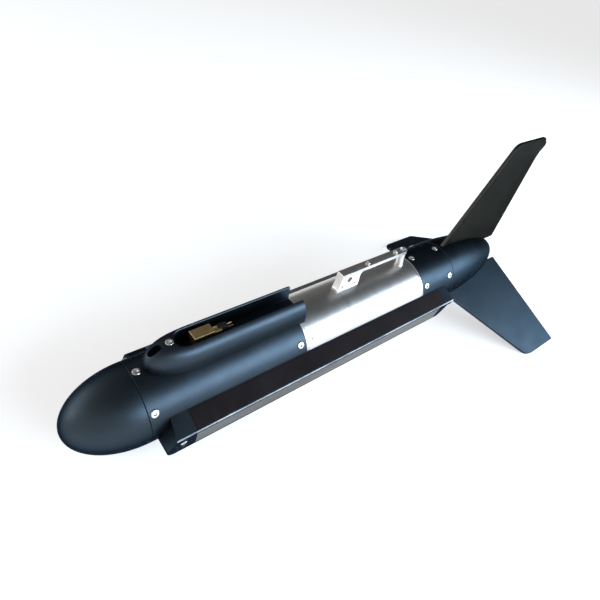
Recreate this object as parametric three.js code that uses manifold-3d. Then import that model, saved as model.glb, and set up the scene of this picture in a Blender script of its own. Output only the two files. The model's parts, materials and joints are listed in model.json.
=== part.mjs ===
// Side-scan sonar towfish: a slim round body with a cable fairing and a tow bracket on top,
// a transducer bar along each side and three tail fins.
// Millimetres. The body is drawn about its own axis, which is +X from nose to tail with the
// nose joint at x = 0 and +Z towards the tow bracket. The last group tilts it to the pose in
// which it lies on a floor: on the nose and on the two lower fins.

import * as THREE from 'three';
import { mergeVertices } from 'three/addons/utils/BufferGeometryUtils.js';
import Module from 'manifold-3d';

const wasm = await Module();
wasm.setup();

// ---------------------------------------------------------------- driving dimensions

// Round body
const bodyRadius = 50;
const noseLength = 83;
const frontSleeveLength = 215;
const housingLength = 232;
const rearSleeveLength = 76;
const tailLength = 162;
const sleeveWall = 4;
const housingWall = 7;
const coneWall = 5;
const capFlange = 2.6;
const capPlug = 19;
const capDisc = 8;
const spigotWall = 5;
const spigotLength = 16;
const capSpigotLength = 19;
const capRecess = 8;
const clearance = 0.3;

// Screw rings: distance of each ring from its joint
const noseRingInset = 7;
const frontRingInset = 9;
const rearRingInset = 9;
const tailRingInset = 10.5;
const ringCount = 6;

// Screws
const screwHeadRadius = 4.7;
const screwHeadHeight = 2.6;
const screwShankRadius = 2.4;
const screwProud = 1.2;
const socketRadius = 1.75;
const socketDepth = 1.7;
const smallShankRadius = 2;
const smallHeadHeight = 2.2;
const shankEndGap = 0.5;

// Cable fairing: its start is measured from the nose joint, its inner places from its start
const fairingStart = 14.7;
const fairingOverhang = 7.7;
const fairingHalfWidth = 25;
const fairingHeight = 27;
const fairingBowLength = 62;
const fairingRiseLength = 40;
const fairingShoulder = 2.5;
const fairingFoot = 2;
const fairingBury = 10;
const fairingTip = 0.4;
const fairingTipHeight = 0.5;
const fairingWall = 11.5;
const troughInset = 38.8;
const troughFloor = 4;
const bowHoleInset = 14.3;
const bowHoleRadius = 5;
const bowHoleStretch = 5.6;
const bowHoleFloor = 7;
const fairingScrewInset = 32.3;

// Connector in the fairing's trough
const connectorInset = 20.5;
const connectorLength = 26;
const connectorWidth = 15;
const connectorDrop = 4;
const lugLength = 9.7;
const lugWidth = 9.8;
const lugDrop = 2;
const insertLength = 19;
const insertSeat = 2.5;
const insertRadius = 6;
const insertRise = 2.5;
const pinLength = 8.5;
const pinSeat = 5;
const pinRadius = 1;
const pinSpacing = 5;

// Tow bracket: its start is measured from the housing's front, its end from the housing's rear
const bracketInset = 79;
const bracketEndInset = 15.5;
const bracketFoot = 38;
const bracketThickness = 12.3;
const bracketHeight = 27.7;
const barThickness = 5.4;
const bracketNose = 5;
const bracketInnerLean = 6.5;
const bracketInnerBevel = 5;
const bracketBury = 2;
const flareLength = 5;
const flareHeight = 6;
const postRadius = 5.9;
const postFootRadius = 7;
const postFootHeight = 3;
const eyeRadius = 4.1;
const eyePlace = { along: 19.5, height: 16 };
const smallEyeRadius = 1.6;
const frontEye = { along: 7.6, height: 7 };
const rearEye = { along: 31.3, height: 6.3 };
const barScrewInset = 56.5;
const barScrewEndInset = 23.5;
const barScrewHeadRadius = 3.6;
const boltHeadRadius = 4.2;
const boltHeadRecess = 1.2;

// Transducer bars: the start is measured from the nose joint, the end from the tail joint
const arrayStart = 18;
const arrayEndInset = 23;
const arrayReach = 23.4;
const arrayTopHeight = 13;
const arrayFaceLean = 12;
const arrayDepth = 30.5;
const arrayFrontLean = 20;
const arrayFrontCrown = 3.5;
const arrayFrontRadius = 14;
const arrayCornerRadius = 12;
const arrayEdge = 1.8;
const arrayBevel = 2;
const arrayStep = { top: 10, foot: 17, bevelLength: 4, bevelHeight: 4 };
const arrayFlange = 7;
const arrayHeel = 2;
const arrayInside = 0.6;
const inlayInset = 25;
const inlayEndInset = 19;
const inlayMargin = 1.6;
const inlayOuterMargin = 2.6;
const inlayThickness = 3;
const inlayProud = 0.25;
const windowInset = 24;
const windowEndInset = 32;
const windowMargin = 3;
const windowThickness = 4;
const windowProud = 0.2;
const arrayScrewInset = 9;
const arrayScrewHeadRadius = 4;
const arrayScrewHeadHeight = 2.4;
const arrayScrewSeatRadius = 6;
const arrayScrewSeat = 3.1;
const arrayScrewLength = 9;

// Tail fins: front places are measured from the tail joint, rear ones from the cone's tip
const finThickness = 5.5;
const finRootInset = 7;
const finTipStart = -51;
const finTipEnd = 32;
const finHeel = 2;
const finReach = 160.5;
const finTipRound = 28;
const finTipChamfer = 2;
const finRootBury = 8;
const finTab = { from: 0.18, to: 0.72, depth: 4.6, rise: 1 };
const finHook = { cut: 3, reach: 5.5, drop: 11, neck: 4, taper: 1, waist: 26.5, blend: 50, back: 0.8 };

// Inside
const ballastShare = 0.41;
const ballastFromJoint = 22;
const ballastGap = 1;
const trayMargin = 10;
const trayDrop = 12;
const traySplit = 0.6;
const trayThickness = 3;
const boardThickness = 1.6;
const boardStandoff = 6;
const boardMargin = 6;
const boardGap = 8;
const ringSection = 1.5;
const ringFromFlange = 14;
const lockRadius = 3.2;
const lockFromFlange = 8;
const lockAngle = 148;
const lockDepth = 4;
const glandRadius = 7;
const glandNeckRadius = 4.9;
const glandStemRadius = 4.2;
const glandLength = 12;
const glandSpread = 0.4;
const glandDrop = 0.12;
const glandRise = 0.24;
const barBoltRadius = 2.5;
const barBoltHeadRadius = 4.2;
const barBoltHeadHeight = 4;
const barBoltReach = 8;
const barBoltSink = 1;
const barBoltAngle = 8;
const barBoltInset = { front: 42, rear: 24 };

// Facets
const roundSteps = 36;
const coneSteps = 8;
const screwSteps = 10;
const glandSteps = 12;
const ballastSteps = 4;
const sealSteps = 6;
const fairingSteps = 16;
const bowSteps = 12;
const eyeSteps = 16;
const postSteps = 24;
const tabSteps = 5;

// How far a cutter runs past the piece it cuts
const overrun = 5;

// ---------------------------------------------------------------- places that follow

const housingStart = frontSleeveLength;
const housingEnd = housingStart + housingLength;
const tailJoint = housingEnd + rearSleeveLength;
const half = clearance / 2;
const sleeveBore = bodyRadius - sleeveWall;
const housingBore = bodyRadius - housingWall;
const spigotRadius = sleeveBore - clearance;
const fairingEnd = housingStart + fairingOverhang;
const fairingTop = bodyRadius + fairingHeight;
const fairingScrewX = fairingStart + fairingScrewInset;
const bowHoleX = fairingStart + bowHoleInset;
const seatRadius = bodyRadius + clearance;
const troughHalfWidth = fairingHalfWidth - fairingWall;
const troughStart = fairingStart + troughInset;
const troughBase = bodyRadius + troughFloor;
const connectorStart = troughStart + connectorInset;
const bracketStart = housingStart + bracketInset;
const bracketEnd = housingEnd - bracketEndInset;
const barScrewPlaces = [bracketStart + barScrewInset, bracketEnd - barScrewEndInset];
const postPlace = bracketEnd - bracketThickness / 2;
const arrayEnd = tailJoint - arrayEndInset;
const arrayTopInner = { out: Math.sqrt(bodyRadius ** 2 - arrayTopHeight ** 2), up: arrayTopHeight };
const arrayTopOuter = { out: bodyRadius + arrayReach, up: 0 };
const tailTip = tailJoint + tailLength;
const finRootStart = tailJoint + finRootInset;
const finRootRadius = bodyRadius / 2;
const finSpan = bodyRadius + finReach;
const lockPlace = housingStart + capFlange + lockFromFlange;
const ringAngles = Array.from({ length: ringCount }, (_, i) => 90 + (i * 360) / ringCount);
const barPlaces = [210, 330];

// ---------------------------------------------------------------- materials

const surfaces = {
  blackAnodised: { color: 0x15181c, roughness: 0.38, metalness: 0.7 },
  turnedSilver: { color: 0xb9b8b4, roughness: 0.34, metalness: 1.0 },
  brightSteel: { color: 0xd6d6d4, roughness: 0.22, metalness: 1.0 },
  brass: { color: 0xb08a45, roughness: 0.35, metalness: 1.0 },
  blackRubber: { color: 0x141414, roughness: 0.75, metalness: 0.0 },
  copper: { color: 0xb87040, roughness: 0.3, metalness: 1.0 },
  darkInlay: { color: 0x201b1c, roughness: 0.5, metalness: 0.0 },
  greyWindow: { color: 0x716d68, roughness: 0.55, metalness: 0.0 },
  lead: { color: 0x62656a, roughness: 0.6, metalness: 0.8 },
  circuitBoard: { color: 0x1f5a37, roughness: 0.5, metalness: 0.0 },
};

// ---------------------------------------------------------------- solid helpers

const body = new THREE.Group();

function solidOf(geometry) {
  const bare = geometry.index ? geometry.toNonIndexed() : geometry.clone();
  bare.deleteAttribute('normal');
  bare.deleteAttribute('uv');
  const merged = mergeVertices(bare, 1e-4);
  const solid = new wasm.Manifold(new wasm.Mesh({
    numProp: 3,
    vertProperties: new Float32Array(merged.attributes.position.array),
    triVerts: new Uint32Array(merged.index.array),
  }));
  return solid;
}

function geometryOf(solid) {
  const mesh = solid.getMesh();
  const geometry = new THREE.BufferGeometry();
  geometry.setAttribute('position', new THREE.BufferAttribute(mesh.vertProperties.slice(), 3));
  geometry.setIndex(new THREE.BufferAttribute(mesh.triVerts.slice(), 1));
  return geometry;
}

function cut(geometry, ...tools) {
  const solid = tools.reduce((left, tool) => left.subtract(solidOf(tool)), solidOf(geometry));
  return geometryOf(solid);
}

function join(geometry, ...others) {
  const solid = others.reduce((whole, other) => whole.add(solidOf(other)), solidOf(geometry));
  return geometryOf(solid);
}

function common(a, b) {
  return geometryOf(solidOf(a).intersect(solidOf(b)));
}

function add(name, geometry, surface) {
  const mesh = new THREE.Mesh(geometry, new THREE.MeshStandardMaterial(surfaces[surface]));
  mesh.name = name;
  body.add(mesh);
  return mesh;
}

// A solid of revolution about the body axis from [x, r] points in order of rising x outside.
function turned(points, steps = roundSteps) {
  const profile = points.map(([x, r]) => new THREE.Vector2(r, x));
  const geometry = new THREE.LatheGeometry(profile, steps);
  geometry.rotateZ(-Math.PI / 2);
  return geometry;
}

function tube(x0, x1, outer, inner) {
  return turned([[x0, inner], [x0, outer], [x1, outer], [x1, inner], [x0, inner]]);
}

function rod(x0, x1, radius, steps = roundSteps) {
  return turned([[x0, 0], [x0, radius], [x1, radius], [x1, 0]], steps);
}

// A solid of revolution about +Z from [z, r] points.
function upright(points, steps = screwSteps) {
  const profile = points.map(([z, r]) => new THREE.Vector2(r, z));
  return new THREE.LatheGeometry(profile, steps).rotateX(Math.PI / 2);
}

function uprightRod(z0, z1, radius, steps = screwSteps) {
  return upright([[z0, 0], [z0, radius], [z1, radius], [z1, 0]], steps);
}

// Turns a piece drawn on the +Z side to an angle about the body axis: 90 is the top,
// 0 is starboard (+Y).
function toAngle(geometry, degrees) {
  return geometry.rotateX(THREE.MathUtils.degToRad(degrees - 90));
}

// A plate drawn in x and z, centred on y = 0.
function sidePlate(shape, thickness, curveSegments = 6) {
  const plate = new THREE.ExtrudeGeometry(shape, { depth: thickness, bevelEnabled: false, curveSegments });
  return plate.rotateX(Math.PI / 2).translate(0, thickness / 2, 0);
}

function blockBetween(low, high) {
  const size = high.map((value, i) => value - low[i]);
  const middle = high.map((value, i) => (value + low[i]) / 2);
  return new THREE.BoxGeometry(...size).translate(...middle);
}

function ellipseRadius(distance, length) {
  return bodyRadius * Math.sqrt(Math.max(0, 1 - (distance / length) ** 2));
}

// ---------------------------------------------------------------- screws

function hexSocket() {
  return new THREE.CylinderGeometry(socketRadius, socketRadius, 2 * socketDepth, 6).rotateX(Math.PI / 2);
}

function buttonScrew(headRadius, headHeight, shankRadius, shankLength) {
  const screw = upright([
    [-shankLength, 0],
    [-shankLength, shankRadius],
    [0, shankRadius],
    [0, headRadius],
    [headHeight * 0.5, headRadius],
    [headHeight, headRadius * 0.55],
    [headHeight, 0],
  ]);
  return cut(screw, hexSocket().translate(0, 0, headHeight));
}

// Seat of a head that stands a little proud of the round body
const headSeat = bodyRadius + screwProud - screwHeadHeight;
const shankLength = headSeat - (spigotRadius - spigotWall) - shankEndGap;

function ringHoles(x, angles) {
  return angles.map((angle) => {
    const hole = upright([
      [spigotRadius - 2 * spigotWall, 0],
      [spigotRadius - 2 * spigotWall, screwShankRadius + clearance],
      [headSeat - clearance, screwShankRadius + clearance],
      [headSeat - clearance, screwHeadRadius + clearance],
      [bodyRadius + overrun, screwHeadRadius + clearance],
      [bodyRadius + overrun, 0],
    ]);
    return toAngle(hole, angle).translate(x, 0, 0);
  });
}

function ringScrews(name, x, angles) {
  angles.forEach((angle, i) => {
    const screw = buttonScrew(screwHeadRadius, screwHeadHeight, screwShankRadius, shankLength);
    const mesh = add(`${name}_${i + 1}`, screw, 'brightSteel');
    mesh.rotation.x = THREE.MathUtils.degToRad(angle - 90);
    mesh.position.set(x, 0, 0);
    mesh.geometry.translate(0, 0, headSeat);
  });
}

// The bars cover two places of each ring in their length, and the fairing covers a top one.
const clearOfBars = ringAngles.filter((angle) => !barPlaces.includes(angle % 360));
const noseRing = { x: noseRingInset, angles: clearOfBars };
const frontRing = { x: housingStart - frontRingInset, angles: clearOfBars.slice(1) };
const rearRing = { x: housingEnd + rearRingInset, angles: clearOfBars };
const tailRing = { x: tailJoint - tailRingInset, angles: ringAngles };

// ---------------------------------------------------------------- shells

function noseCone() {
  const inner = noseLength - coneWall;
  const innerSteps = coneSteps - 2;
  const points = [[-noseLength, 0]];
  for (let i = 1; i <= coneSteps; i += 1) {
    const angle = (i / coneSteps) * (Math.PI / 2);
    points.push([-noseLength * Math.cos(angle), bodyRadius * Math.sin(angle)]);
  }
  points[points.length - 1] = [-half, bodyRadius];
  points.push([-half, spigotRadius], [spigotLength, spigotRadius]);
  points.push([spigotLength, spigotRadius - spigotWall]);
  for (let i = innerSteps; i >= 1; i -= 1) {
    const angle = (i / innerSteps) * (Math.PI / 2);
    points.push([-inner * Math.cos(angle), (spigotRadius - spigotWall) * Math.sin(angle)]);
  }
  points.push([-inner, 0]);
  const shell = turned(points);
  add('nose_cone', cut(shell, ...ringHoles(noseRing.x, noseRing.angles)), 'blackAnodised');
}

function noseBallast() {
  const inner = noseLength - coneWall;
  const radiusAt = (x) => (spigotRadius - spigotWall) * Math.sqrt(1 - (x / inner) ** 2) - ballastGap;
  const rear = -ballastFromJoint;
  const ballastLength = ballastShare * noseLength;
  const front = rear - ballastLength;
  const points = [[front, 0]];
  for (let i = 0; i <= ballastSteps; i += 1) {
    const x = front + (i / ballastSteps) * ballastLength;
    points.push([x, radiusAt(x)]);
  }
  points.push([rear, 0]);
  add('nose_ballast', turned(points, roundSteps / 2), 'lead');
}

function frontSleeve() {
  const shell = tube(half, housingStart - half, bodyRadius, sleeveBore);
  const screwHoles = [
    ...ringHoles(noseRing.x, noseRing.angles),
    ...ringHoles(frontRing.x, frontRing.angles),
    ...[bowHoleX, fairingScrewX].map((x) => fairingScrewHole(x)),
    ...barBoltHoles('front'),
  ];
  add('front_sleeve', cut(shell, ...screwHoles), 'blackAnodised');
}

function rearSleeve() {
  const shell = tube(housingEnd + half, tailJoint - half, bodyRadius, sleeveBore);
  const screwHoles = [
    ...ringHoles(rearRing.x, rearRing.angles),
    ...ringHoles(tailRing.x, tailRing.angles),
    ...barBoltHoles('rear'),
  ];
  add('rear_sleeve', cut(shell, ...screwHoles), 'blackAnodised');
}

// An end cap of the pressure housing, drawn as the rear one: its plug reaches back into the
// bore, its flange shows as a thin ring, and its spigot carries the sleeve.
function endCap(name, joint, direction, ring, extraHoles = []) {
  const plugEnd = joint - direction * (capFlange + capPlug);
  const flangeEnd = joint - direction * capFlange;
  const spigotEnd = joint + direction * capSpigotLength;
  const plugR = housingBore - clearance;
  const groove = {
    x: flangeEnd - direction * ringFromFlange,
    r: housingBore - 2 * (ringSection + clearance),
  };
  const grooveHalf = ringSection + clearance;
  const disc = plugEnd + direction * capDisc;
  const points = [
    [plugEnd, 0],
    [plugEnd, plugR],
    [groove.x - direction * grooveHalf, plugR],
    [groove.x - direction * grooveHalf, groove.r],
    [groove.x + direction * grooveHalf, groove.r],
    [groove.x + direction * grooveHalf, plugR],
    [flangeEnd, plugR],
    [flangeEnd, bodyRadius],
    [joint - direction * half, bodyRadius],
    [joint - direction * half, spigotRadius],
    [spigotEnd, spigotRadius],
    [spigotEnd, spigotRadius - spigotWall],
    [disc, housingBore - capRecess],
    [disc, 0],
  ];
  if (direction < 0) points.reverse();
  const cap = cut(turned(points), ...ringHoles(ring.x, ring.angles), ...extraHoles);
  add(name, cap, 'turnedSilver');
  const sealRadius = groove.r + ringSection + clearance;
  const seal = new THREE.TorusGeometry(sealRadius, ringSection, sealSteps, roundSteps);
  add(`${name}_o_ring`, seal.rotateY(Math.PI / 2).translate(groove.x, 0, 0), 'blackRubber');
}

function pressureHousing() {
  const start = housingStart + capFlange + clearance;
  const end = housingEnd - capFlange - clearance;
  const shell = tube(start, end, bodyRadius, housingBore);
  const boltHole = uprightRod(0, bodyRadius + overrun, screwShankRadius + clearance);
  boltHole.translate(postPlace, 0, 0);
  add('pressure_housing', cut(shell, boltHole, lockHole()), 'turnedSilver');
  const screw = uprightRod(housingBore - lockDepth + clearance, bodyRadius + clearance, lockRadius);
  const lock = cut(screw, hexSocket().translate(0, 0, bodyRadius));
  add('cap_lock_screw', toAngle(lock, lockAngle).translate(lockPlace, 0, 0), 'turnedSilver');
}

function lockHole() {
  const hole = uprightRod(housingBore - lockDepth, bodyRadius + overrun, lockRadius + clearance);
  return toAngle(hole, lockAngle).translate(lockPlace, 0, 0);
}

// Glands that carry the tether and both bars' leads through the front cap
function glandPlaces() {
  return [
    ['tether_gland', 0, glandRise * bodyRadius],
    ['array_gland_starboard', glandSpread * bodyRadius, -glandDrop * bodyRadius],
    ['array_gland_port', -glandSpread * bodyRadius, -glandDrop * bodyRadius],
  ];
}

function glandHoles() {
  const start = housingStart - capSpigotLength;
  const end = housingStart + capFlange + capPlug + overrun;
  return glandPlaces().map(([, y, z]) => rod(start, end, glandStemRadius + clearance, glandSteps)
    .translate(0, y, z));
}

function glands() {
  const face = housingStart + capFlange + capPlug - capDisc - clearance;
  glandPlaces().forEach(([name, y, z]) => {
    const gland = turned([
      [face - glandLength, 0],
      [face - glandLength, glandNeckRadius],
      [face - glandLength / 2, glandRadius],
      [face, glandRadius],
      [face, glandStemRadius],
      [face + capDisc, glandStemRadius],
      [face + capDisc, 0],
    ], glandSteps);
    add(name, gland.translate(0, y, z), 'brass');
  });
}

function tailProfile(grow, steps) {
  const points = [];
  for (let i = 0; i <= steps; i += 1) {
    const angle = (i / steps) * (Math.PI / 2);
    const x = tailJoint + (tailLength + grow) * Math.sin(angle);
    points.push([x, (bodyRadius + grow) * Math.cos(angle)]);
  }
  points[steps][1] = 0;
  return points;
}

function tailCone() {
  const outer = tailProfile(0, coneSteps);
  outer[0][0] = tailJoint + half;
  const innerRadius = spigotRadius - spigotWall;
  const innerLength = tailLength - 4 * coneWall;
  const innerSteps = coneSteps - 3;
  const inner = [];
  for (let i = innerSteps; i >= 0; i -= 1) {
    const angle = (i / innerSteps) * (Math.PI / 2);
    inner.push([tailJoint + innerLength * Math.sin(angle), innerRadius * Math.cos(angle)]);
  }
  inner[0][1] = 0;
  const profile = [
    ...inner,
    [tailJoint - spigotLength, innerRadius],
    [tailJoint - spigotLength, spigotRadius],
    [tailJoint + half, spigotRadius],
    ...outer,
  ];
  const slots = finAngles.map((angle) => toAngle(finTabPlate(clearance), angle));
  const holes = ringHoles(tailRing.x, tailRing.angles);
  add('tail_cone', cut(turned(profile), ...holes, ...slots), 'blackAnodised');
}

// ---------------------------------------------------------------- fins

const finAngles = [90, 210, 330];

function roundedCorner(shape, corner, before, after, radius) {
  const toBefore = before.clone().sub(corner).normalize();
  const toAfter = after.clone().sub(corner).normalize();
  const halfAngle = Math.acos(toBefore.dot(toAfter)) / 2;
  const reach = radius / Math.tan(halfAngle);
  const start = corner.clone().addScaledVector(toBefore, reach);
  const end = corner.clone().addScaledVector(toAfter, reach);
  shape.lineTo(start.x, start.y);
  shape.quadraticCurveTo(corner.x, corner.y, end.x, end.y);
}

// The part of a fin's root that sits in its slot in the cone
function finTabPlate(grow) {
  const shape = new THREE.Shape();
  const coneAt = (x) => ellipseRadius(x - tailJoint, tailLength);
  const start = tailJoint + finTab.from * tailLength - grow;
  const end = tailJoint + finTab.to * tailLength + grow;
  shape.moveTo(start, coneAt(start) + finTab.rise);
  for (let i = 0; i <= tabSteps; i += 1) {
    const x = start + (i / tabSteps) * (end - start);
    shape.lineTo(x, coneAt(x) - finTab.depth - grow);
  }
  for (let i = tabSteps; i > 0; i -= 1) {
    const x = start + (i / tabSteps) * (end - start);
    shape.lineTo(x, coneAt(x) + finTab.rise);
  }
  return sidePlate(shape, finThickness + 2 * grow);
}

// The top fin's tip is drawn out to the rear in a small hook.
function hookedTip(shape, rearX) {
  const trailing = (up) => rearX - ((finSpan - up) * (finTipEnd - finHeel)) / (finSpan - finRootRadius);
  const neck = finSpan - finHook.drop - finHook.neck;
  const waist = finSpan - finHook.waist;
  const blend = finSpan - finHook.blend;
  shape.lineTo(rearX - finHook.cut, finSpan);
  shape.lineTo(rearX + finHook.reach, finSpan - finHook.drop);
  shape.lineTo(rearX + finHook.reach - finHook.taper, neck);
  shape.quadraticCurveTo(trailing(waist) - finHook.back, waist, trailing(blend), blend);
}

function plainTip(shape, rearX) {
  shape.lineTo(rearX - finTipChamfer, finSpan);
  shape.lineTo(rearX, finSpan - finTipChamfer);
}

function fin(rearTip) {
  const tipFront = new THREE.Vector2(tailTip + finTipStart, finSpan);
  const root = new THREE.Vector2(finRootStart, bodyRadius);
  const tipRear = new THREE.Vector2(tailTip + finTipEnd, finSpan);
  const buried = root.clone().sub(tipFront).setLength(finRootBury).add(root);
  const shape = new THREE.Shape();
  shape.moveTo(buried.x, buried.y);
  roundedCorner(shape, tipFront, root, tipRear, finTipRound);
  rearTip(shape, tipRear.x);
  shape.lineTo(tailTip + finHeel, finRootRadius);
  shape.lineTo(buried.x, finRootRadius);
  const plate = sidePlate(shape, finThickness);
  const ahead = tailJoint - 2 * finRootBury;
  const cone = turned([
    [ahead, 0],
    [ahead, bodyRadius + clearance],
    ...tailProfile(clearance, 2 * coneSteps),
  ]);
  return join(cut(plate, cone), finTabPlate(0));
}

function fins() {
  ['fin_top', 'fin_port', 'fin_starboard'].forEach((name, i) => {
    const mesh = add(name, fin(i === 0 ? hookedTip : plainTip), 'blackAnodised');
    mesh.rotation.x = THREE.MathUtils.degToRad(finAngles[i] - 90);
  });
}

// ---------------------------------------------------------------- fairing and connector

function fairingSection(x, steps) {
  const plan = Math.min(1, (x - fairingStart) / fairingBowLength);
  const rise = Math.min(1, (x - fairingStart) / fairingRiseLength);
  const halfWidth = fairingHalfWidth * Math.sqrt(Math.max(0, 1 - (1 - plan) ** 2));
  const risen = Math.max(0, 1 - (1 - rise) ** fairingShoulder) ** (1 / fairingShoulder);
  const height = fairingHeight * risen;
  const wall = bodyRadius + fairingFoot;
  const base = bodyRadius - fairingBury;
  const section = [[x, -halfWidth, base]];
  for (let i = 0; i <= steps; i += 1) {
    const angle = Math.PI - (i / steps) * Math.PI;
    const across = Math.sign(Math.cos(angle)) * Math.abs(Math.cos(angle)) ** (2 / fairingShoulder);
    const up = Math.abs(Math.sin(angle)) ** (2 / fairingShoulder);
    section.push([x, across * halfWidth, wall + up * Math.max(fairingTipHeight, height - fairingFoot)]);
  }
  section.push([x, halfWidth, base]);
  return section;
}

// A closed solid through sections that all have the same number of points.
function lofted(sections) {
  const count = sections[0].length;
  const positions = sections.flat(2);
  const index = [];
  for (let s = 0; s < sections.length - 1; s += 1) {
    for (let i = 0; i < count; i += 1) {
      const a = s * count + i;
      const b = s * count + ((i + 1) % count);
      index.push(a, a + count, b, b, a + count, b + count);
    }
  }
  const last = (sections.length - 1) * count;
  for (let i = 1; i < count - 1; i += 1) {
    index.push(0, i, i + 1);
    index.push(last, last + i + 1, last + i);
  }
  const geometry = new THREE.BufferGeometry();
  geometry.setAttribute('position', new THREE.Float32BufferAttribute(positions, 3));
  geometry.setIndex(index);
  return geometry;
}

function fairingScrewHole(x) {
  return uprightRod(0, fairingTop + overrun, screwShankRadius + clearance).translate(x, 0, 0);
}

// The opening at the bow: an oblong pocket down to the head of the front screw
function bowPocket() {
  const floor = bodyRadius + bowHoleFloor;
  const ends = [-1, 1].map((side) => uprightRod(floor, fairingTop + overrun, bowHoleRadius, eyeSteps)
    .translate(bowHoleX + (side * bowHoleStretch) / 2, 0, 0));
  const between = blockBetween(
    [bowHoleX - bowHoleStretch / 2, -bowHoleRadius, floor],
    [bowHoleX + bowHoleStretch / 2, bowHoleRadius, fairingTop + overrun],
  );
  return join(between, ...ends);
}

function troughCutter() {
  const centre = troughStart + troughHalfWidth;
  const shape = new THREE.Shape();
  shape.moveTo(fairingEnd + overrun, troughHalfWidth);
  shape.lineTo(centre, troughHalfWidth);
  shape.absarc(centre, 0, troughHalfWidth, Math.PI / 2, (3 * Math.PI) / 2, false);
  shape.lineTo(fairingEnd + overrun, -troughHalfWidth);
  return new THREE.ExtrudeGeometry(shape, {
    depth: fairingHeight, bevelEnabled: false, curveSegments: bowSteps,
  }).translate(0, 0, troughBase);
}

function cableFairing() {
  const stations = [];
  for (let i = 0; i <= bowSteps; i += 1) {
    const part = 1 - Math.cos((i / bowSteps) * (Math.PI / 2));
    stations.push(fairingStart + fairingTip + part * (fairingBowLength - fairingTip));
  }
  stations.push(fairingEnd);
  const outer = lofted(stations.map((x) => fairingSection(x, fairingSteps)));
  const seat = rod(0, fairingEnd + overrun, seatRadius);
  const headSeatZ = fairingTop - screwHeadHeight;
  const headHole = uprightRod(headSeatZ - clearance, fairingTop + overrun, screwHeadRadius + clearance)
    .translate(fairingScrewX, 0, 0);
  const fairing = cut(outer, seat, troughCutter(), bowPocket(), headHole,
    fairingScrewHole(bowHoleX), fairingScrewHole(fairingScrewX));
  add('cable_fairing', fairing, 'blackAnodised');
  [['fairing_screw', fairingScrewX, headSeatZ],
    ['fairing_bow_screw', bowHoleX, bodyRadius + bowHoleFloor + clearance]].forEach(([name, x, z]) => {
    const length = z - sleeveBore - fairingTipHeight;
    const screw = buttonScrew(screwHeadRadius, screwHeadHeight, screwShankRadius, length);
    add(name, screw.translate(x, 0, z), 'brightSteel');
  });
}

function connector() {
  const seat = troughBase + clearance;
  const top = fairingTop - connectorDrop;
  const end = connectorStart + connectorLength;
  const middle = (seat + top) / 2 + insertRise;
  const lugEnd = end + lugLength;
  const lug = blockBetween(
    [connectorStart, -connectorWidth / 2, seat],
    [lugEnd, lugWidth - connectorWidth / 2, top - lugDrop],
  );
  const bore = rod(lugEnd - insertSeat, lugEnd + overrun, insertRadius + clearance, eyeSteps)
    .translate(0, 0, middle);
  const block = blockBetween(
    [connectorStart, -connectorWidth / 2, seat],
    [end, connectorWidth / 2, top],
  );
  add('connector_block', cut(join(block, lug), bore), 'brass');
  const insertEnd = end + insertLength;
  const insert = rod(lugEnd - insertSeat + clearance, insertEnd, insertRadius, eyeSteps);
  const pins = [['port', -pinSpacing / 2], ['starboard', pinSpacing / 2]];
  const sockets = pins.map(([, y]) => rod(insertEnd - pinSeat, insertEnd + overrun, pinRadius + clearance,
    screwSteps).translate(0, y, 0));
  add('connector_insert', cut(insert, ...sockets).translate(0, 0, middle), 'blackRubber');
  pins.forEach(([side, y]) => {
    const pin = rod(insertEnd - pinSeat + clearance, insertEnd + pinLength, pinRadius, screwSteps);
    add(`connector_pin_${side}`, pin.translate(0, y, middle), 'copper');
  });
}

// ---------------------------------------------------------------- tow bracket

const bracketTop = bodyRadius + bracketHeight;
const barUnder = bracketTop - barThickness;

// Side outline of the leg and the bar, with a flare at the leg's front foot
function bracketPlate() {
  const innerFoot = bracketStart + bracketFoot;
  const foot = bodyRadius - bracketBury;
  const flareTop = foot + flareHeight;
  const lean = (bracketNose * flareHeight) / (bracketTop - foot);
  const shape = new THREE.Shape();
  shape.moveTo(bracketStart - flareLength, foot);
  shape.quadraticCurveTo(bracketStart, foot + bracketBury, bracketStart + lean, flareTop);
  shape.lineTo(bracketStart + bracketNose, bracketTop);
  shape.lineTo(postPlace, bracketTop);
  shape.lineTo(postPlace, barUnder);
  shape.lineTo(innerFoot + bracketInnerLean, barUnder);
  shape.lineTo(innerFoot, barUnder - bracketInnerBevel);
  shape.lineTo(innerFoot, foot);
  return sidePlate(shape, bracketThickness);
}

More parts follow.
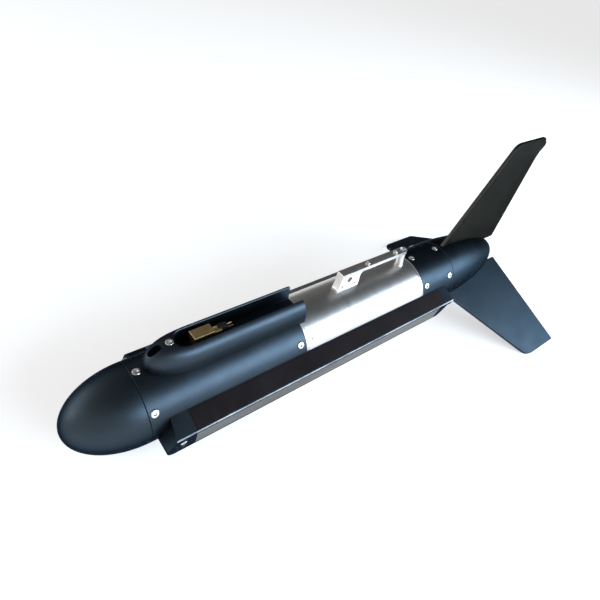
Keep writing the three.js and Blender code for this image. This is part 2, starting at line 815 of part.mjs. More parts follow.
function towBracket() {
  const eye = (place, radius, steps) => rod(-bracketThickness, bracketThickness, radius, steps)
    .rotateZ(Math.PI / 2).translate(bracketStart + place.along, 0, bodyRadius + place.height);
  const barEnd = uprightRod(barUnder, bracketTop, bracketThickness / 2, postSteps);
  const foot = bodyRadius - bracketBury;
  const post = uprightRod(foot, barUnder + bracketBury, postRadius, postSteps);
  const postFoot = uprightRod(foot, bodyRadius + postFootHeight, postFootRadius, postSteps);
  const rounds = [barEnd, post, postFoot].map((round) => round.translate(postPlace, 0, 0));
  const plate = join(bracketPlate(), ...rounds);
  const boltSeat = bracketTop - screwHeadHeight - boltHeadRecess;
  const screwHole = (radius) => uprightRod(bodyRadius + overrun, bracketTop + overrun, radius + clearance);
  const holes = [
    rod(bracketStart - 2 * flareLength, bracketEnd + overrun, seatRadius),
    eye(eyePlace, eyeRadius, eyeSteps),
    eye(frontEye, smallEyeRadius, screwSteps),
    eye(rearEye, smallEyeRadius, screwSteps),
    ...barScrewPlaces.map((x) => screwHole(smallShankRadius).translate(x, 0, 0)),
    uprightRod(housingBore, bracketTop + overrun, screwShankRadius + clearance).translate(postPlace, 0, 0),
    uprightRod(boltSeat - clearance, bracketTop + overrun, boltHeadRadius + clearance)
      .translate(postPlace, 0, 0),
  ];
  add('tow_bracket', cut(plate, ...holes), 'turnedSilver');
  barScrewPlaces.forEach((x, i) => {
    const screw = buttonScrew(barScrewHeadRadius, smallHeadHeight, smallShankRadius, barThickness + 1);
    add(`bracket_bar_screw_${i + 1}`, screw.translate(x, 0, bracketTop + clearance), 'brightSteel');
  });
  const bolt = buttonScrew(boltHeadRadius, screwHeadHeight, screwShankRadius, boltSeat - housingBore);
  add('bracket_post_bolt', bolt.translate(postPlace, 0, boltSeat), 'brightSteel');
}

// ---------------------------------------------------------------- transducer bars

// Points of the bar's section as [out, up], for the starboard side.
const arrayLean = THREE.MathUtils.degToRad(arrayFaceLean);
const arrayTopAngle = Math.atan2(arrayTopInner.up - arrayTopOuter.up, arrayTopOuter.out - arrayTopInner.out);

function arrayFaceAt(up) {
  return arrayTopOuter.out + (up - arrayTopOuter.up) * Math.tan(arrayLean);
}

function alongBar(points, x0, x1) {
  const shape = new THREE.Shape(points.map(([out, up]) => new THREE.Vector2(out, up)));
  const bar = new THREE.ExtrudeGeometry(shape, { depth: x1 - x0, bevelEnabled: false });
  return bar.applyMatrix4(new THREE.Matrix4().makeBasis(
    new THREE.Vector3(0, 1, 0),
    new THREE.Vector3(0, 0, 1),
    new THREE.Vector3(1, 0, 0),
  )).translate(x0, 0, 0);
}

function arraySection() {
  const inside = arrayInside * bodyRadius;
  const topIn = arrayTopInner.up + (arrayTopInner.out - inside) * Math.tan(arrayTopAngle);
  const cos = Math.cos(arrayTopAngle);
  const sin = Math.sin(arrayTopAngle);
  const edgeTop = [arrayTopOuter.out - arrayEdge * cos, arrayTopOuter.up + arrayEdge * sin];
  const edgeFace = [arrayFaceAt(-arrayEdge), -arrayEdge];
  const low = [arrayFaceAt(-arrayDepth), -arrayDepth];
  return [[inside, -arrayDepth], [low[0] - arrayBevel, low[1]], [low[0], low[1] + arrayBevel],
    edgeFace, edgeTop, [inside, topIn]];
}

// Side outline of the bar: a rounded front that leans forward towards the foot, and a rear end
// with a flange on top and the deeper part stopping short under it.
function arrayOutline() {
  const top = new THREE.Vector2(arrayStart + 2 * arrayFrontCrown, 2 * arrayTopHeight);
  const low = -arrayDepth;
  const front = new THREE.Vector2(arrayStart, 0);
  const frontLow = new THREE.Vector2(arrayStart - arrayFrontLean, low);
  const rearLow = new THREE.Vector2(arrayEnd, low);
  const shape = new THREE.Shape();
  shape.moveTo(top.x, top.y);
  roundedCorner(shape, front, top, frontLow, arrayFrontRadius);
  roundedCorner(shape, frontLow, front, rearLow, arrayCornerRadius);
  shape.lineTo(arrayEnd - arrayStep.foot - arrayStep.bevelLength, low);
  shape.lineTo(arrayEnd - arrayStep.foot, low + arrayStep.bevelHeight);
  shape.lineTo(arrayEnd - arrayStep.top, -arrayFlange);
  shape.lineTo(arrayEnd - arrayHeel, -arrayFlange);
  shape.lineTo(arrayEnd, 0);
  shape.lineTo(arrayEnd, top.y);
  return sidePlate(shape, 4 * bodyRadius);
}

function inlaySolid(grow, x0, x1) {
  const cos = Math.cos(arrayTopAngle);
  const sin = Math.sin(arrayTopAngle);
  const width = Math.hypot(arrayTopOuter.out - arrayTopInner.out, arrayTopInner.up - arrayTopOuter.up);
  const at = (along, deep) => [
    arrayTopInner.out + along * cos - deep * sin,
    arrayTopInner.up - along * sin - deep * cos,
  ];
  const from = inlayMargin - grow;
  const to = width - inlayOuterMargin + grow;
  const deep = inlayThickness + grow;
  const above = grow > 0 ? -overrun : -inlayProud;
  const outline = [at(from, deep), at(to, deep), at(to, above), at(from, above)];
  const plate = alongBar(outline, x0 - grow, x1 + grow);
  return cut(plate, rod(x0 - overrun, x1 + overrun, seatRadius - grow));
}

function windowSolid(grow, x0, x1) {
  const cos = Math.cos(arrayLean);
  const sin = Math.sin(arrayLean);
  const from = windowMargin - grow;
  const to = arrayDepth / cos - windowMargin + grow;
  const at = (down, deep) => [
    arrayTopOuter.out - down * sin - deep * cos,
    arrayTopOuter.up - down * cos + deep * sin,
  ];
  const deep = windowThickness + grow;
  const above = grow > 0 ? -overrun : -windowProud;
  const outline = [at(to, above), at(to, deep), at(from, deep), at(from, above)];
  return alongBar(outline, x0 - grow, x1 + grow);
}

function transducerBar(side, sign) {
  const inlay = [arrayStart + inlayInset, arrayEnd - inlayEndInset];
  const window = [arrayStart + windowInset, arrayEnd - windowEndInset];
  const mid = -arrayDepth / 2;
  const boltAt = (geometry) => geometry
    .rotateX(-Math.PI / 2)
    .rotateX(-arrayLean)
    .translate(arrayStart + arrayScrewInset, arrayFaceAt(mid), mid);
  const full = alongBar(arraySection(), arrayStart - 2 * arrayFrontLean, arrayEnd + overrun);
  const shaped = common(full, arrayOutline());
  const holeEnd = arrayScrewSeat + arrayScrewLength + overrun;
  const headHole = upright([
    [-holeEnd, 0],
    [-holeEnd, smallShankRadius + clearance],
    [-arrayScrewSeat, smallShankRadius + clearance],
    [-arrayScrewSeat, arrayScrewSeatRadius],
    [overrun, arrayScrewSeatRadius],
    [overrun, 0],
  ], eyeSteps);
  const housing = cut(shaped, rod(-2 * overrun, arrayEnd + 2 * overrun, seatRadius),
    inlaySolid(clearance, ...inlay), windowSolid(clearance, ...window), boltAt(headHole),
    barBoltHole('front', -barBoltAngle), barBoltHole('rear', -barBoltAngle));
  const screw = buttonScrew(arrayScrewHeadRadius, arrayScrewHeadHeight, smallShankRadius, arrayScrewLength)
    .translate(0, 0, clearance - arrayScrewSeat);
  const pieces = [
    [`array_housing_${side}`, housing, 'blackAnodised'],
    [`array_inlay_${side}`, inlaySolid(0, ...inlay), 'darkInlay'],
    [`array_window_${side}`, windowSolid(0, ...window), 'greyWindow'],
    [`array_screw_${side}`, boltAt(screw), 'brightSteel'],
  ];
  pieces.forEach(([name, geometry, surface]) => {
    const placed = sign > 0 ? geometry : mirrored(geometry);
    add(name, placed, surface);
  });
}

const barBoltPlaces = {
  front: arrayStart + barBoltInset.front,
  rear: arrayEnd - barBoltInset.rear,
};

function barBoltHole(place, angle) {
  const reach = bodyRadius + barBoltReach + clearance;
  const hole = uprightRod(sleeveBore - overrun, reach, barBoltRadius + clearance);
  return toAngle(hole, angle).translate(barBoltPlaces[place], 0, 0);
}

function barBoltHoles(place) {
  return [-barBoltAngle, 180 + barBoltAngle].map((angle) => barBoltHole(place, angle));
}

// Bolts from inside the sleeves that hold the bars on
function barBolts() {
  Object.keys(barBoltPlaces).forEach((place) => {
    [['starboard', -barBoltAngle], ['port', 180 + barBoltAngle]].forEach(([side, angle]) => {
      const head = sleeveBore - barBoltSink;
      const bolt = upright([
        [head - barBoltHeadHeight, 0],
        [head - barBoltHeadHeight, barBoltHeadRadius],
        [head, barBoltHeadRadius],
        [head, barBoltRadius],
        [bodyRadius + barBoltReach, barBoltRadius],
        [bodyRadius + barBoltReach, 0],
      ]);
      add(`array_bolt_${side}_${place}`, toAngle(bolt, angle).translate(barBoltPlaces[place], 0, 0),
        'brightSteel');
    });
  });
}

// The same piece on the port side
function mirrored(geometry) {
  const flipped = geometryOf(solidOf(geometry)).scale(1, -1, 1);
  const index = flipped.index.array;
  for (let i = 0; i < index.length; i += 3) {
    [index[i], index[i + 1]] = [index[i + 1], index[i]];
  }
  return flipped;
}

// ---------------------------------------------------------------- electronics

function electronics() {
  const start = housingStart + capFlange + capPlug + clearance;
  const end = housingEnd - capFlange - capPlug - clearance;
  const halfTray = housingBore - trayMargin;
  const halfBoard = halfTray - boardMargin;
  add('electronics_tray', blockBetween(
    [start, -halfTray, -trayDrop - trayThickness],
    [end, halfTray, -trayDrop],
  ), 'turnedSilver');
  const split = start + (end - start) * traySplit;
  const boardZ = clearance - trayDrop;
  add('sonar_board', blockBetween(
    [start + boardMargin, -halfBoard, boardZ],
    [split - boardGap / 2, halfBoard, boardZ + boardStandoff + boardThickness],
  ), 'circuitBoard');
  add('power_board', blockBetween(
    [split + boardGap / 2, -halfBoard, boardZ],
    [end - boardMargin, halfBoard, boardZ + 2 * boardStandoff],
  ), 'circuitBoard');
}

// ---------------------------------------------------------------- assembly

noseCone();
noseBallast();
frontSleeve();
endCap('front_end_cap', housingStart, -1, frontRing, [lockHole(), ...glandHoles()]);
glands();
pressureHousing();
endCap('rear_end_cap', housingEnd, 1, rearRing);
electronics();
rearSleeve();
tailCone();
fins();
cableFairing();
connector();
towBracket();
transducerBar('starboard', 1);
transducerBar('port', -1);
barBolts();
ringScrews('nose_screw', noseRing.x, noseRing.angles);
ringScrews('front_cap_screw', frontRing.x, frontRing.angles);
ringScrews('rear_cap_screw', rearRing.x, rearRing.angles);
ringScrews('tail_screw', tailRing.x, tailRing.angles);

// Tilt at which the fore body and the tail reach equally far down, so that both touch the floor.
function reachDown(points, tilt) {
  const depths = points.map(([x, z]) => -x * Math.sin(tilt) - z * Math.cos(tilt));
  return depths.reduce((deepest, depth) => Math.max(deepest, depth), -Infinity);
}

function restingTilt() {
  const points = [];
  body.updateMatrixWorld(true);
  body.traverse((mesh) => {
    if (!mesh.isMesh) return;
    const position = mesh.geometry.getAttribute('position');
    for (let i = 0; i < position.count; i += 1) {
      const point = new THREE.Vector3().fromBufferAttribute(position, i).applyMatrix4(mesh.matrixWorld);
      points.push([point.x, point.z]);
    }
  });
  const fore = points.filter(([x]) => x < housingStart);
  const tail = points.filter(([x]) => x > housingEnd);
  let low = 0;
  let high = Math.PI / 8;
  for (let i = 0; i < 50; i += 1) {
    const middle = (low + high) / 2;
    if (reachDown(tail, middle) > reachDown(fore, middle)) low = middle;
    else high = middle;
  }
  return (low + high) / 2;
}

body.rotation.y = -restingTilt();
const group = new THREE.Group();
group.add(body);

// The origin is on the floor, under the middle of the whole object.
group.updateMatrixWorld(true);
const box = new THREE.Box3().setFromObject(group, true);
body.position.set(-(box.min.x + box.max.x) / 2, 0, -box.min.z);

export default group;
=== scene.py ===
"""Side-scan sonar towfish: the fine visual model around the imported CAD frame.

Pieces are drawn in the body's own frame, in millimetres: x runs along the axis from the nose
joint to the tail, y to starboard and z towards the tow bracket. One matrix tilts that frame
to the way the body lies on the floor, and it is read off the CAD nodes.
"""

import json
import math

import bmesh
import bpy
from mathutils import Matrix, Vector


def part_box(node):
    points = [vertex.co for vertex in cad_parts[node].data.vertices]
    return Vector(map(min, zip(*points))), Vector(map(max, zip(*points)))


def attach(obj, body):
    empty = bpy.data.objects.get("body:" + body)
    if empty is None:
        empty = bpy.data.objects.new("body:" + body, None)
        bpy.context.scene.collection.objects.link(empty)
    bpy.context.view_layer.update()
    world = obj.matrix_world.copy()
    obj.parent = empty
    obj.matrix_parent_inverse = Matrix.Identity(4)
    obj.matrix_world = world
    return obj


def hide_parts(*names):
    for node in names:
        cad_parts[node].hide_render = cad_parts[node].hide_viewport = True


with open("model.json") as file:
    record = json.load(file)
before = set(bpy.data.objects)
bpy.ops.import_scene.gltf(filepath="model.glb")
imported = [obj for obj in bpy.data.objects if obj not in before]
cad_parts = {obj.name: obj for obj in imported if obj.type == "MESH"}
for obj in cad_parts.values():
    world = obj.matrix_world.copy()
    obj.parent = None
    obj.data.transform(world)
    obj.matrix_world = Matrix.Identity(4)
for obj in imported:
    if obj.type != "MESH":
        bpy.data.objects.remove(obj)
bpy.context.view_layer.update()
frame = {"nodes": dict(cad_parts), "record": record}

MM = 0.001
ROUND = 180                 # facets round the body
FINE = 48                   # facets round a screw

# Round body
BODY_R = 50.0
SEAM = 0.3
SLEEVE_WALL = 4.0
HOUSING_WALL = 7.0
CAP_FLANGE = 2.6
NOSE_LENGTH = 82.85
HOUSING_START = 215.0
HOUSING_END = 447.0
TAIL_JOINT = 523.0
TAIL_LENGTH = 162.0
SPIGOT_LENGTH = 16.0
SPIGOT_WALL = 5.0
NOSE_WALL = 5.0
TAIL_SOLID = 20.0           # how much of the tail's tip is solid
EDGE = 0.45
CAP_PLUG = 19.0
CAP_PAST_SPIGOT = 3.0
CAP_RECESS = 8.0
CAP_EDGE = 0.3              # broken edge of the cap's flange at the housing
CAP_SEAM_EDGE = 0.6         # and at the sleeve
HOUSING_EDGE = 0.9
BORE = BODY_R - SLEEVE_WALL
HOUSING_BORE = BODY_R - HOUSING_WALL
SPIGOT_R = BORE - SEAM
SPIGOT_BORE = SPIGOT_R - SPIGOT_WALL
RIM_R = BODY_R * 0.99998    # a hair under the body, so a rim stays a corner of its own
SEAT_R = BODY_R + 0.05      # what sits on the body is cut to this

# Corner normals
CLOSE = math.cos(math.radians(4))
SAME_TURN = math.cos(math.radians(25))

# Screws
HEAD_R = 4.7
HEAD_H = 2.6
SHANK_R = 2.4
HEAD_PROUD = 1.2
SOCKET_R = 1.75
SOCKET_DEPTH = 1.7
HEAD_SEAT = BODY_R + HEAD_PROUD - HEAD_H
RING_SHANK = 7.0
FIRST_TURN, NEXT_TURN = 17, 41      # how far the sockets of a ring are turned
NOSE_RING = 7.0
FRONT_RING = HOUSING_START - 9.0
REAR_RING = HOUSING_END + 9.0
TAIL_RING = TAIL_JOINT - 10.5
FOUR = (90, 150, 270, 30)
SIX = (90, 150, 210, 270, 330, 30)
LOCK_PLACE = (148, HOUSING_START + CAP_FLANGE + 8)
LOCK_R = 3.2
LOCK_DEPTH = 3.7
LOCK_SOCKET_R = 1.9
PIN_HOLE_R = 1.1
PIN_HOLES = ((138.3, HOUSING_START + CAP_FLANGE + SEAM + 3.2),
             (149.9, HOUSING_END - CAP_FLANGE - SEAM - 7.6))

# Cable fairing
FAIRING_START = 14.7
FAIRING_END = 222.7
FAIRING_HALF = 25.0
FAIRING_RISE = 27.0
BOW_LENGTH = 62.0
RISE_LENGTH = 40.0
SHOULDER = 2.5
TROUGH_HALF = 13.5
TROUGH_START = 53.5
TROUGH_BASE = BODY_R + 4.0
TROUGH_LIP = 2.2
TROUGH_TOP = BODY_R + 24.6
FAIRING_FOOT = BODY_R + 2.0
FAIRING_LOW = BODY_R - 10.0
FAIRING_TIP = 0.4
FAIRING_TOP = BODY_R + FAIRING_RISE
BOW_HOLE_X = 29.0
BOW_HOLE_R = 5.0
BOW_HOLE_HALF = 2.8
BOW_HOLE_FLOOR = BODY_R + 7.0
BOW_SHANK = 5.0
FAIRING_SCREW_X = 47.0
FAIRING_SHANK = 20.0

# Connector
BLOCK_START = 74.0
BLOCK_END = 100.0
BLOCK_HALF = 7.5
LUG_END = 109.7
LUG_SIDE = 2.3
LUG_DROP = 2.0
GROOVE_R = 3.4
CONNECTOR_TOP = BODY_R + 23.0
CONNECTOR_SEAT = TROUGH_BASE + 0.3
CONNECTOR_AXIS = (CONNECTOR_SEAT + CONNECTOR_TOP) / 2 + 2.5
INSERT_END = 119.0
INSERT_R = 6.0
INSERT_SEAT = 2.5
PIN_END = 127.5
PIN_R = 1.0
PIN_SEAT = 5.0
PINS = {"connector_pin_port": -2.5, "connector_pin_starboard": 2.5}

# Tow bracket
BRACKET_START = 294.0
BRACKET_FOOT_END = 332.0
BRACKET_END = 431.5
BRACKET_HALF = 6.15
BRACKET_TOP = BODY_R + 27.7
BAR_UNDER = BRACKET_TOP - 5.4
POST_X = BRACKET_END - BRACKET_HALF
POST_R = 5.9
POST_FOOT = (7.0, 53.0)
EYES = ((313.5, 66.0, 4.1, 0.7), (301.6, 57.0, 1.6, 0.2), (325.3, 56.3, 1.6, 0.2))
BAR_SCREWS = (350.5, 408.0)
BAR_SCREW_R = 3.6
BAR_SCREW_SHANK = 6.0
SMALL_HEAD_H = 2.0
SMALL_SHANK_R = 2.0
BOLT_R = 4.2
BOLT_SEAT = BRACKET_TOP - HEAD_H - 1.2
BOLT_LENGTH = 25.0
BRACKET_LOW = BODY_R - 6.0
BRACKET_FLARE = 5.0
BRACKET_NOSE = 5.0

# Transducer bars, as (out, up) from the axis
ARRAY_START = 18.0
ARRAY_END = 500.0
TOP_INNER = (48.3, 13.0)
TOP_OUTER = (73.4, 0.0)
FACE_LEAN = math.radians(12.0)
ARRAY_DEPTH = 30.5
FRONT_LEAN = 20.0
INLAY = (43.0, 481.0)
WINDOW = (42.0, 468.0)
ARRAY_FLANGE = 7.0
ARRAY_TALL = 26.0           # the outline's upper limit, above the bar's top
ARRAY_INNER = 30.0          # how far in towards the axis the section starts
WORN_HIGHLIGHT_DOWN, WORN_HIGHLIGHT_IN = 0.8, 1.3       # how far the edge flat with the rubbed-through dye and painted highlight reaches down the face and in along the top
FRAME_GAP = 0.2             # round the inlay and the window
INLAY_DEEP, INLAY_PROUD = 3.0, 0.2
WINDOW_DEEP, WINDOW_PROUD = 4.0, 0.2
INLAY_MARGIN, INLAY_OUTER_MARGIN = 1.6, 2.6
WINDOW_MARGIN = 3.0
ARRAY_SCREW_X = ARRAY_START + 9.0
ARRAY_SCREW_R = 4.0
ARRAY_SCREW_H = 2.4
ARRAY_SCREW_SEAT = 3.1
ARRAY_SCREW_LENGTH = 9.0
ARRAY_COUNTERBORE_R = 6.0

# Fins, as (x, distance from the axis)
FIN_HALF = 2.75
FIN_SPAN = 210.5
FIN_ANGLES = {"fin_top": 90, "fin_port": 210, "fin_starboard": 330}
FIN_ROOT = (530.0, 50.0)
FIN_HEEL = (687.0, 25.0)
FIN_INSIDE = ((650.0, 25.0), (560.0, 36.0))
FIN_TIP_START = 634.0
FIN_TIP_END = 717.0
FIN_EDGE = 0.9
FIN_SLOT_GAP = 0.3

# The top fin's hook and the lower fins' corner: x past the tip's end, distance from the axis, round
FIN_HOOK = ((-4.5, FIN_SPAN, 2.0), (5.5, 200.0, 3.0), (4.3, 195.3, 2.0), (-3.6, 186.0, 12.0),
            (-7.6, 176.0, 20.0), (-9.5, 163.0, 20.0))
FIN_CORNER = ((-2.0, FIN_SPAN, 0.0), (0.0, FIN_SPAN - 2.0, 0.0))
HOOK_FRONT_ROUND = 20.0
CORNER_FRONT_ROUND = 28.0

# Camera
CAMERA_PLACE = Vector((-0.45804, -0.33893, 0.51666))
CAMERA_TARGET = Vector((-0.09511, 0.0, 0.12905))
CAMERA_ROLL = math.radians(15.105)
CAMERA_LENS = 28.535

# Lights: azimuth, elevation, distance, degrees wide and high, radiance, colour
LIT = Vector((0.0, 0.0, 0.08))      # what the lights point at
LIGHTS = {
    "key": (31, 21.5, 3.0, 64, 28, 8.0, (0.82, 1.0, 1.18)),
    "fill": (232, 15, 3.0, 44, 22, 2.0, (1.0, 0.98, 0.95)),
}

# Room and floor. A spread turns a direction, from..to, into a strength, from..to.
SIDE_SPREAD = (-1.0, 0.6, 1.0, 0.14)
HEIGHT_SPREAD = (0.3, 1.0, 1.0, 0.35)
ROOM_COLOUR = (1.0, 0.99, 0.97, 1)
FLOOR_RADIUS = 200.0        # metres, so that its edge is far off in any view
FLOOR_COLOUR = (0.86, 0.87, 0.88, 1)
FLOOR_ROUGHNESS = 0.7
FLOOR_GLOW = 0.55


# ------------------------------------------------------------------ the body's frame

def middle(node):
    node_low, node_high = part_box(node)
    return (node_low + node_high) / 2


def body_matrix():
    """The tilt from two like screws on top of the body, the origin from the sleeve's box."""
    rise = middle("rear_cap_screw_1") - middle("nose_screw_1")
    tilt = math.atan2(rise.z, rise.x)
    sleeve_low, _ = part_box("front_sleeve")
    housing_low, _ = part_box("pressure_housing")
    start = (SEAM / 2) * MM
    housing = (HOUSING_START + CAP_FLANGE + SEAM) * MM
    radius = BODY_R * MM
    x = sleeve_low.x - start * math.cos(tilt) + radius * math.sin(tilt)
    z = housing_low.z - housing * math.sin(tilt) + radius * math.cos(tilt)
    return Matrix.Translation((x, 0, z)) @ Matrix.Rotation(-tilt, 4, "Y")


BODY = body_matrix()
BODY_SCALED = BODY @ Matrix.Scale(MM, 4)


# ------------------------------------------------------------------ camera and stage

def make_camera():
    data = bpy.data.cameras.new("camera")
    data.lens = CAMERA_LENS
    data.sensor_width = 36.0
    data.clip_start = 0.01
    camera = bpy.data.objects.new("camera", data)
    bpy.context.scene.collection.objects.link(camera)
    look = (CAMERA_TARGET - CAMERA_PLACE).to_track_quat("-Z", "Y").to_matrix().to_4x4()
    camera.matrix_world = Matrix.Translation(CAMERA_PLACE) @ look @ Matrix.Rotation(CAMERA_ROLL, 4, "Z")
    bpy.context.scene.camera = camera


def softbox(name, azimuth, elevation, distance, wide, high, radiance, colour):
    """A panel seen from the object at an azimuth (0 is -Y, 90 is +X), wide and high in degrees."""
    size_x = 2 * distance * math.tan(math.radians(wide / 2))
    size_y = 2 * distance * math.tan(math.radians(high / 2))
    data = bpy.data.lights.new(name, "AREA")
    data.shape = "RECTANGLE"
    data.size, data.size_y = size_x, size_y
    data.energy = radiance * math.pi * size_x * size_y
    data.color = colour
    light = bpy.data.objects.new(name, data)
    light.visible_camera = False
    bpy.context.scene.collection.objects.link(light)
    round_z = Matrix.Rotation(math.radians(azimuth), 4, "Z")
    turn = round_z @ Matrix.Rotation(math.radians(-elevation), 4, "X")
    face = Matrix.Rotation(math.radians(90), 4, "X")
    light.matrix_world = Matrix.Translation(LIT) @ turn @ Matrix.Translation((0, -distance, 0)) @ face


def make_world():
    """A dim room: lighter to the left and low down, dark above and on the far side."""
    world = bpy.data.worlds.new("studio")
    bpy.context.scene.world = world
    world.use_nodes = True
    nodes, links = world.node_tree.nodes, world.node_tree.links
    nodes.clear()
    place = nodes.new("ShaderNodeTexCoord")
    split = nodes.new("ShaderNodeSeparateXYZ")
    side = nodes.new("ShaderNodeMapRange")
    side.interpolation_type = "SMOOTHSTEP"
    height = nodes.new("ShaderNodeMapRange")
    height.interpolation_type = "SMOOTHSTEP"
    both = nodes.new("ShaderNodeMath")
    both.operation = "MULTIPLY"
    back = nodes.new("ShaderNodeBackground")
    out = nodes.new("ShaderNodeOutputWorld")
    links.new(place.outputs["Generated"], split.inputs[0])
    for node, axis, values in ((side, "X", SIDE_SPREAD), (height, "Z", HEIGHT_SPREAD)):
        for socket, value in zip(("From Min", "From Max", "To Min", "To Max"), values):
            node.inputs[socket].default_value = value
        links.new(split.outputs[axis], node.inputs["Value"])
    links.new(side.outputs[0], both.inputs[0])
    links.new(height.outputs[0], both.inputs[1])
    links.new(both.outputs[0], back.inputs["Strength"])
    back.inputs["Color"].default_value = ROOM_COLOUR
    links.new(back.outputs[0], out.inputs[0])


def make_stage():
    """A pale floor that glows a little, so the background stays light as in the photograph."""
    bm = bmesh.new()
    bmesh.ops.create_circle(bm, cap_ends=True, segments=64, radius=FLOOR_RADIUS)
    mesh = bpy.data.meshes.new("floor")
    bm.to_mesh(mesh)
    bm.free()
    floor = bpy.data.objects.new("floor", mesh)
    bpy.context.scene.collection.objects.link(floor)
    material = bpy.data.materials.new("pale_floor")
    material.use_nodes = True
    shader = material.node_tree.nodes["Principled BSDF"]
    shader.inputs["Base Color"].default_value = FLOOR_COLOUR
    shader.inputs["Roughness"].default_value = FLOOR_ROUGHNESS
    shader.inputs["Emission Color"].default_value = (1, 1, 1, 1)
    shader.inputs["Emission Strength"].default_value = FLOOR_GLOW
    mesh.materials.append(material)


make_camera()
make_world()
make_stage()
for light_name, settings in LIGHTS.items():
    softbox(light_name, *settings)
bpy.context.scene.view_settings.view_transform = "Standard"


# ------------------------------------------------------------------ materials

class Surface:
    """A Principled material with a few procedural layers, laid out from named parts."""

    def __init__(self, name, colour, roughness, metallic, **extra):
        self.material = bpy.data.materials.new(name)
        self.material.use_nodes = True
        self.nodes = self.material.node_tree.nodes
        self.links = self.material.node_tree.links
        self.shader = self.nodes["Principled BSDF"]
        self.shader.inputs["Base Color"].default_value = (*colour, 1)
        self.shader.inputs["Roughness"].default_value = roughness
        self.shader.inputs["Metallic"].default_value = metallic
        for socket, value in extra.items():
            self.shader.inputs[socket.replace("_", " ")].default_value = value
        self.place = self.nodes.new("ShaderNodeTexCoord").outputs["Object"]
        self.normal = None

    def noise(self, scale, detail=3.0, roughness=0.5, stretch=(1, 1, 1)):
        mapping = self.nodes.new("ShaderNodeMapping")
        mapping.vector_type = "TEXTURE"
        mapping.inputs["Rotation"].default_value = BODY.to_euler()
        mapping.inputs["Scale"].default_value = [1 / s for s in stretch]
        texture = self.nodes.new("ShaderNodeTexNoise")
        texture.inputs["Scale"].default_value = scale
        texture.inputs["Detail"].default_value = detail
        texture.inputs["Roughness"].default_value = roughness
        self.links.new(self.place, mapping.inputs[0])
        self.links.new(mapping.outputs[0], texture.inputs["Vector"])
        return texture.outputs["Fac"]

    def between(self, source, low, high, at=(0.3, 0.7)):
        """source, spread from at[0]..at[1] to low..high."""
        spread = self.nodes.new("ShaderNodeMapRange")
        spread.inputs["From Min"].default_value = at[0]
        spread.inputs["From Max"].default_value = at[1]
        spread.inputs["To Min"].default_value = low
        spread.inputs["To Max"].default_value = high
        self.links.new(source, spread.inputs["Value"])
        return spread.outputs["Result"]

    def colours(self, source, dark, light, at=(0.3, 0.7)):
        ramp = self.nodes.new("ShaderNodeValToRGB")
        ramp.color_ramp.elements[0].position = at[0]
        ramp.color_ramp.elements[0].color = (*dark, 1)
        ramp.color_ramp.elements[1].position = at[1]
        ramp.color_ramp.elements[1].color = (*light, 1)
        self.links.new(source, ramp.inputs[0])
        return ramp.outputs[0]

    def base(self, output):
        self.links.new(output, self.shader.inputs["Base Color"])

    def rough(self, output):
        self.links.new(output, self.shader.inputs["Roughness"])

    def bump(self, height, distance, strength=1.0):
        node = self.nodes.new("ShaderNodeBump")
        node.inputs["Distance"].default_value = distance
        node.inputs["Strength"].default_value = strength
        self.links.new(height, node.inputs["Height"])
        if self.normal is not None:
            self.links.new(self.normal, node.inputs["Normal"])
        self.normal = node.outputs[0]
        self.links.new(self.normal, self.shader.inputs["Normal"])


def blasted(s, dark, light):
    """The bead-blasted, dyed finish: fine grain, faint cloudiness and handling marks."""
    s.base(s.colours(s.noise(14, 4, 0.6), dark, light))
    s.rough(s.between(s.noise(34, 5, 0.62), 0.36, 0.44))
    s.bump(s.noise(2600, 2, 0.5), 0.00004, 0.35)
    return s.material


def black_anodised():
    """Blasted aluminium, dyed blue-black."""
    s = Surface("black_anodised", (0.045, 0.055, 0.062), 0.4, 1.0, Specular_Tint=(0.2, 0.22, 0.24, 1))
    return blasted(s, (0.035, 0.048, 0.060), (0.044, 0.059, 0.074))


def black_with_painted_room_tint():
    """The same finish on the top fin, where it faces the room: its neutral tint is a painted reflection
    of the room.
    """
    s = Surface("black_with_painted_room_tint", (0.045, 0.045, 0.042), 0.4, 1.0, Specular_Tint=(0.2, 0.2, 0.19, 1))
    return blasted(s, (0.036, 0.036, 0.033), (0.046, 0.046, 0.043))


def worn_edge_and_highlight():
    """An edge flat with a lighter base colour: dye rubbed through to bare metal in places, and a painted
    highlight along the edge.
    """
    s = Surface("worn_edge_and_highlight", (0.3, 0.31, 0.32), 0.34, 1.0)
    # rubbed sets the edge's light patches, which are rubbed-through dye and painted highlight both.
    rubbed = s.noise(55, 6, 0.7, stretch=(0.35, 1, 1))
    s.base(s.colours(rubbed, (0.05, 0.06, 0.07), (0.2, 0.21, 0.22), (0.36, 0.66)))
    s.rough(s.between(s.noise(140, 4, 0.6), 0.26, 0.42))
    s.bump(s.noise(1200, 2, 0.5), 0.00004, 0.4)
    return s.material


def turned_silver():
    """Fine turned aluminium: tool marks run round the body, so they are close along x."""
    s = Surface("turned_silver", (0.72, 0.71, 0.69), 0.3, 1.0)
    marks = s.noise(900, 2, 0.6, stretch=(1, 0.02, 0.02))
    s.base(s.colours(s.noise(9, 4, 0.6), (0.58, 0.57, 0.55), (0.68, 0.675, 0.665)))
    s.rough(s.between(s.noise(260, 3, 0.6, stretch=(1, 0.03, 0.03)), 0.29, 0.37))
    s.bump(marks, 0.00003, 0.2)
    return s.material


def milled_silver():
    """Milled plate: short crossed marks, with brighter rubbed places."""
    s = Surface("milled_silver", (0.7, 0.69, 0.67), 0.3, 1.0)
    s.base(s.colours(s.noise(40, 4, 0.6), (0.6, 0.585, 0.56), (0.78, 0.77, 0.76)))
    s.rough(s.between(s.noise(420, 3, 0.6, stretch=(0.06, 1, 1)), 0.24, 0.42))
    s.bump(s.noise(1500, 2, 0.5, stretch=(0.05, 1, 1)), 0.00005, 0.4)
    return s.material


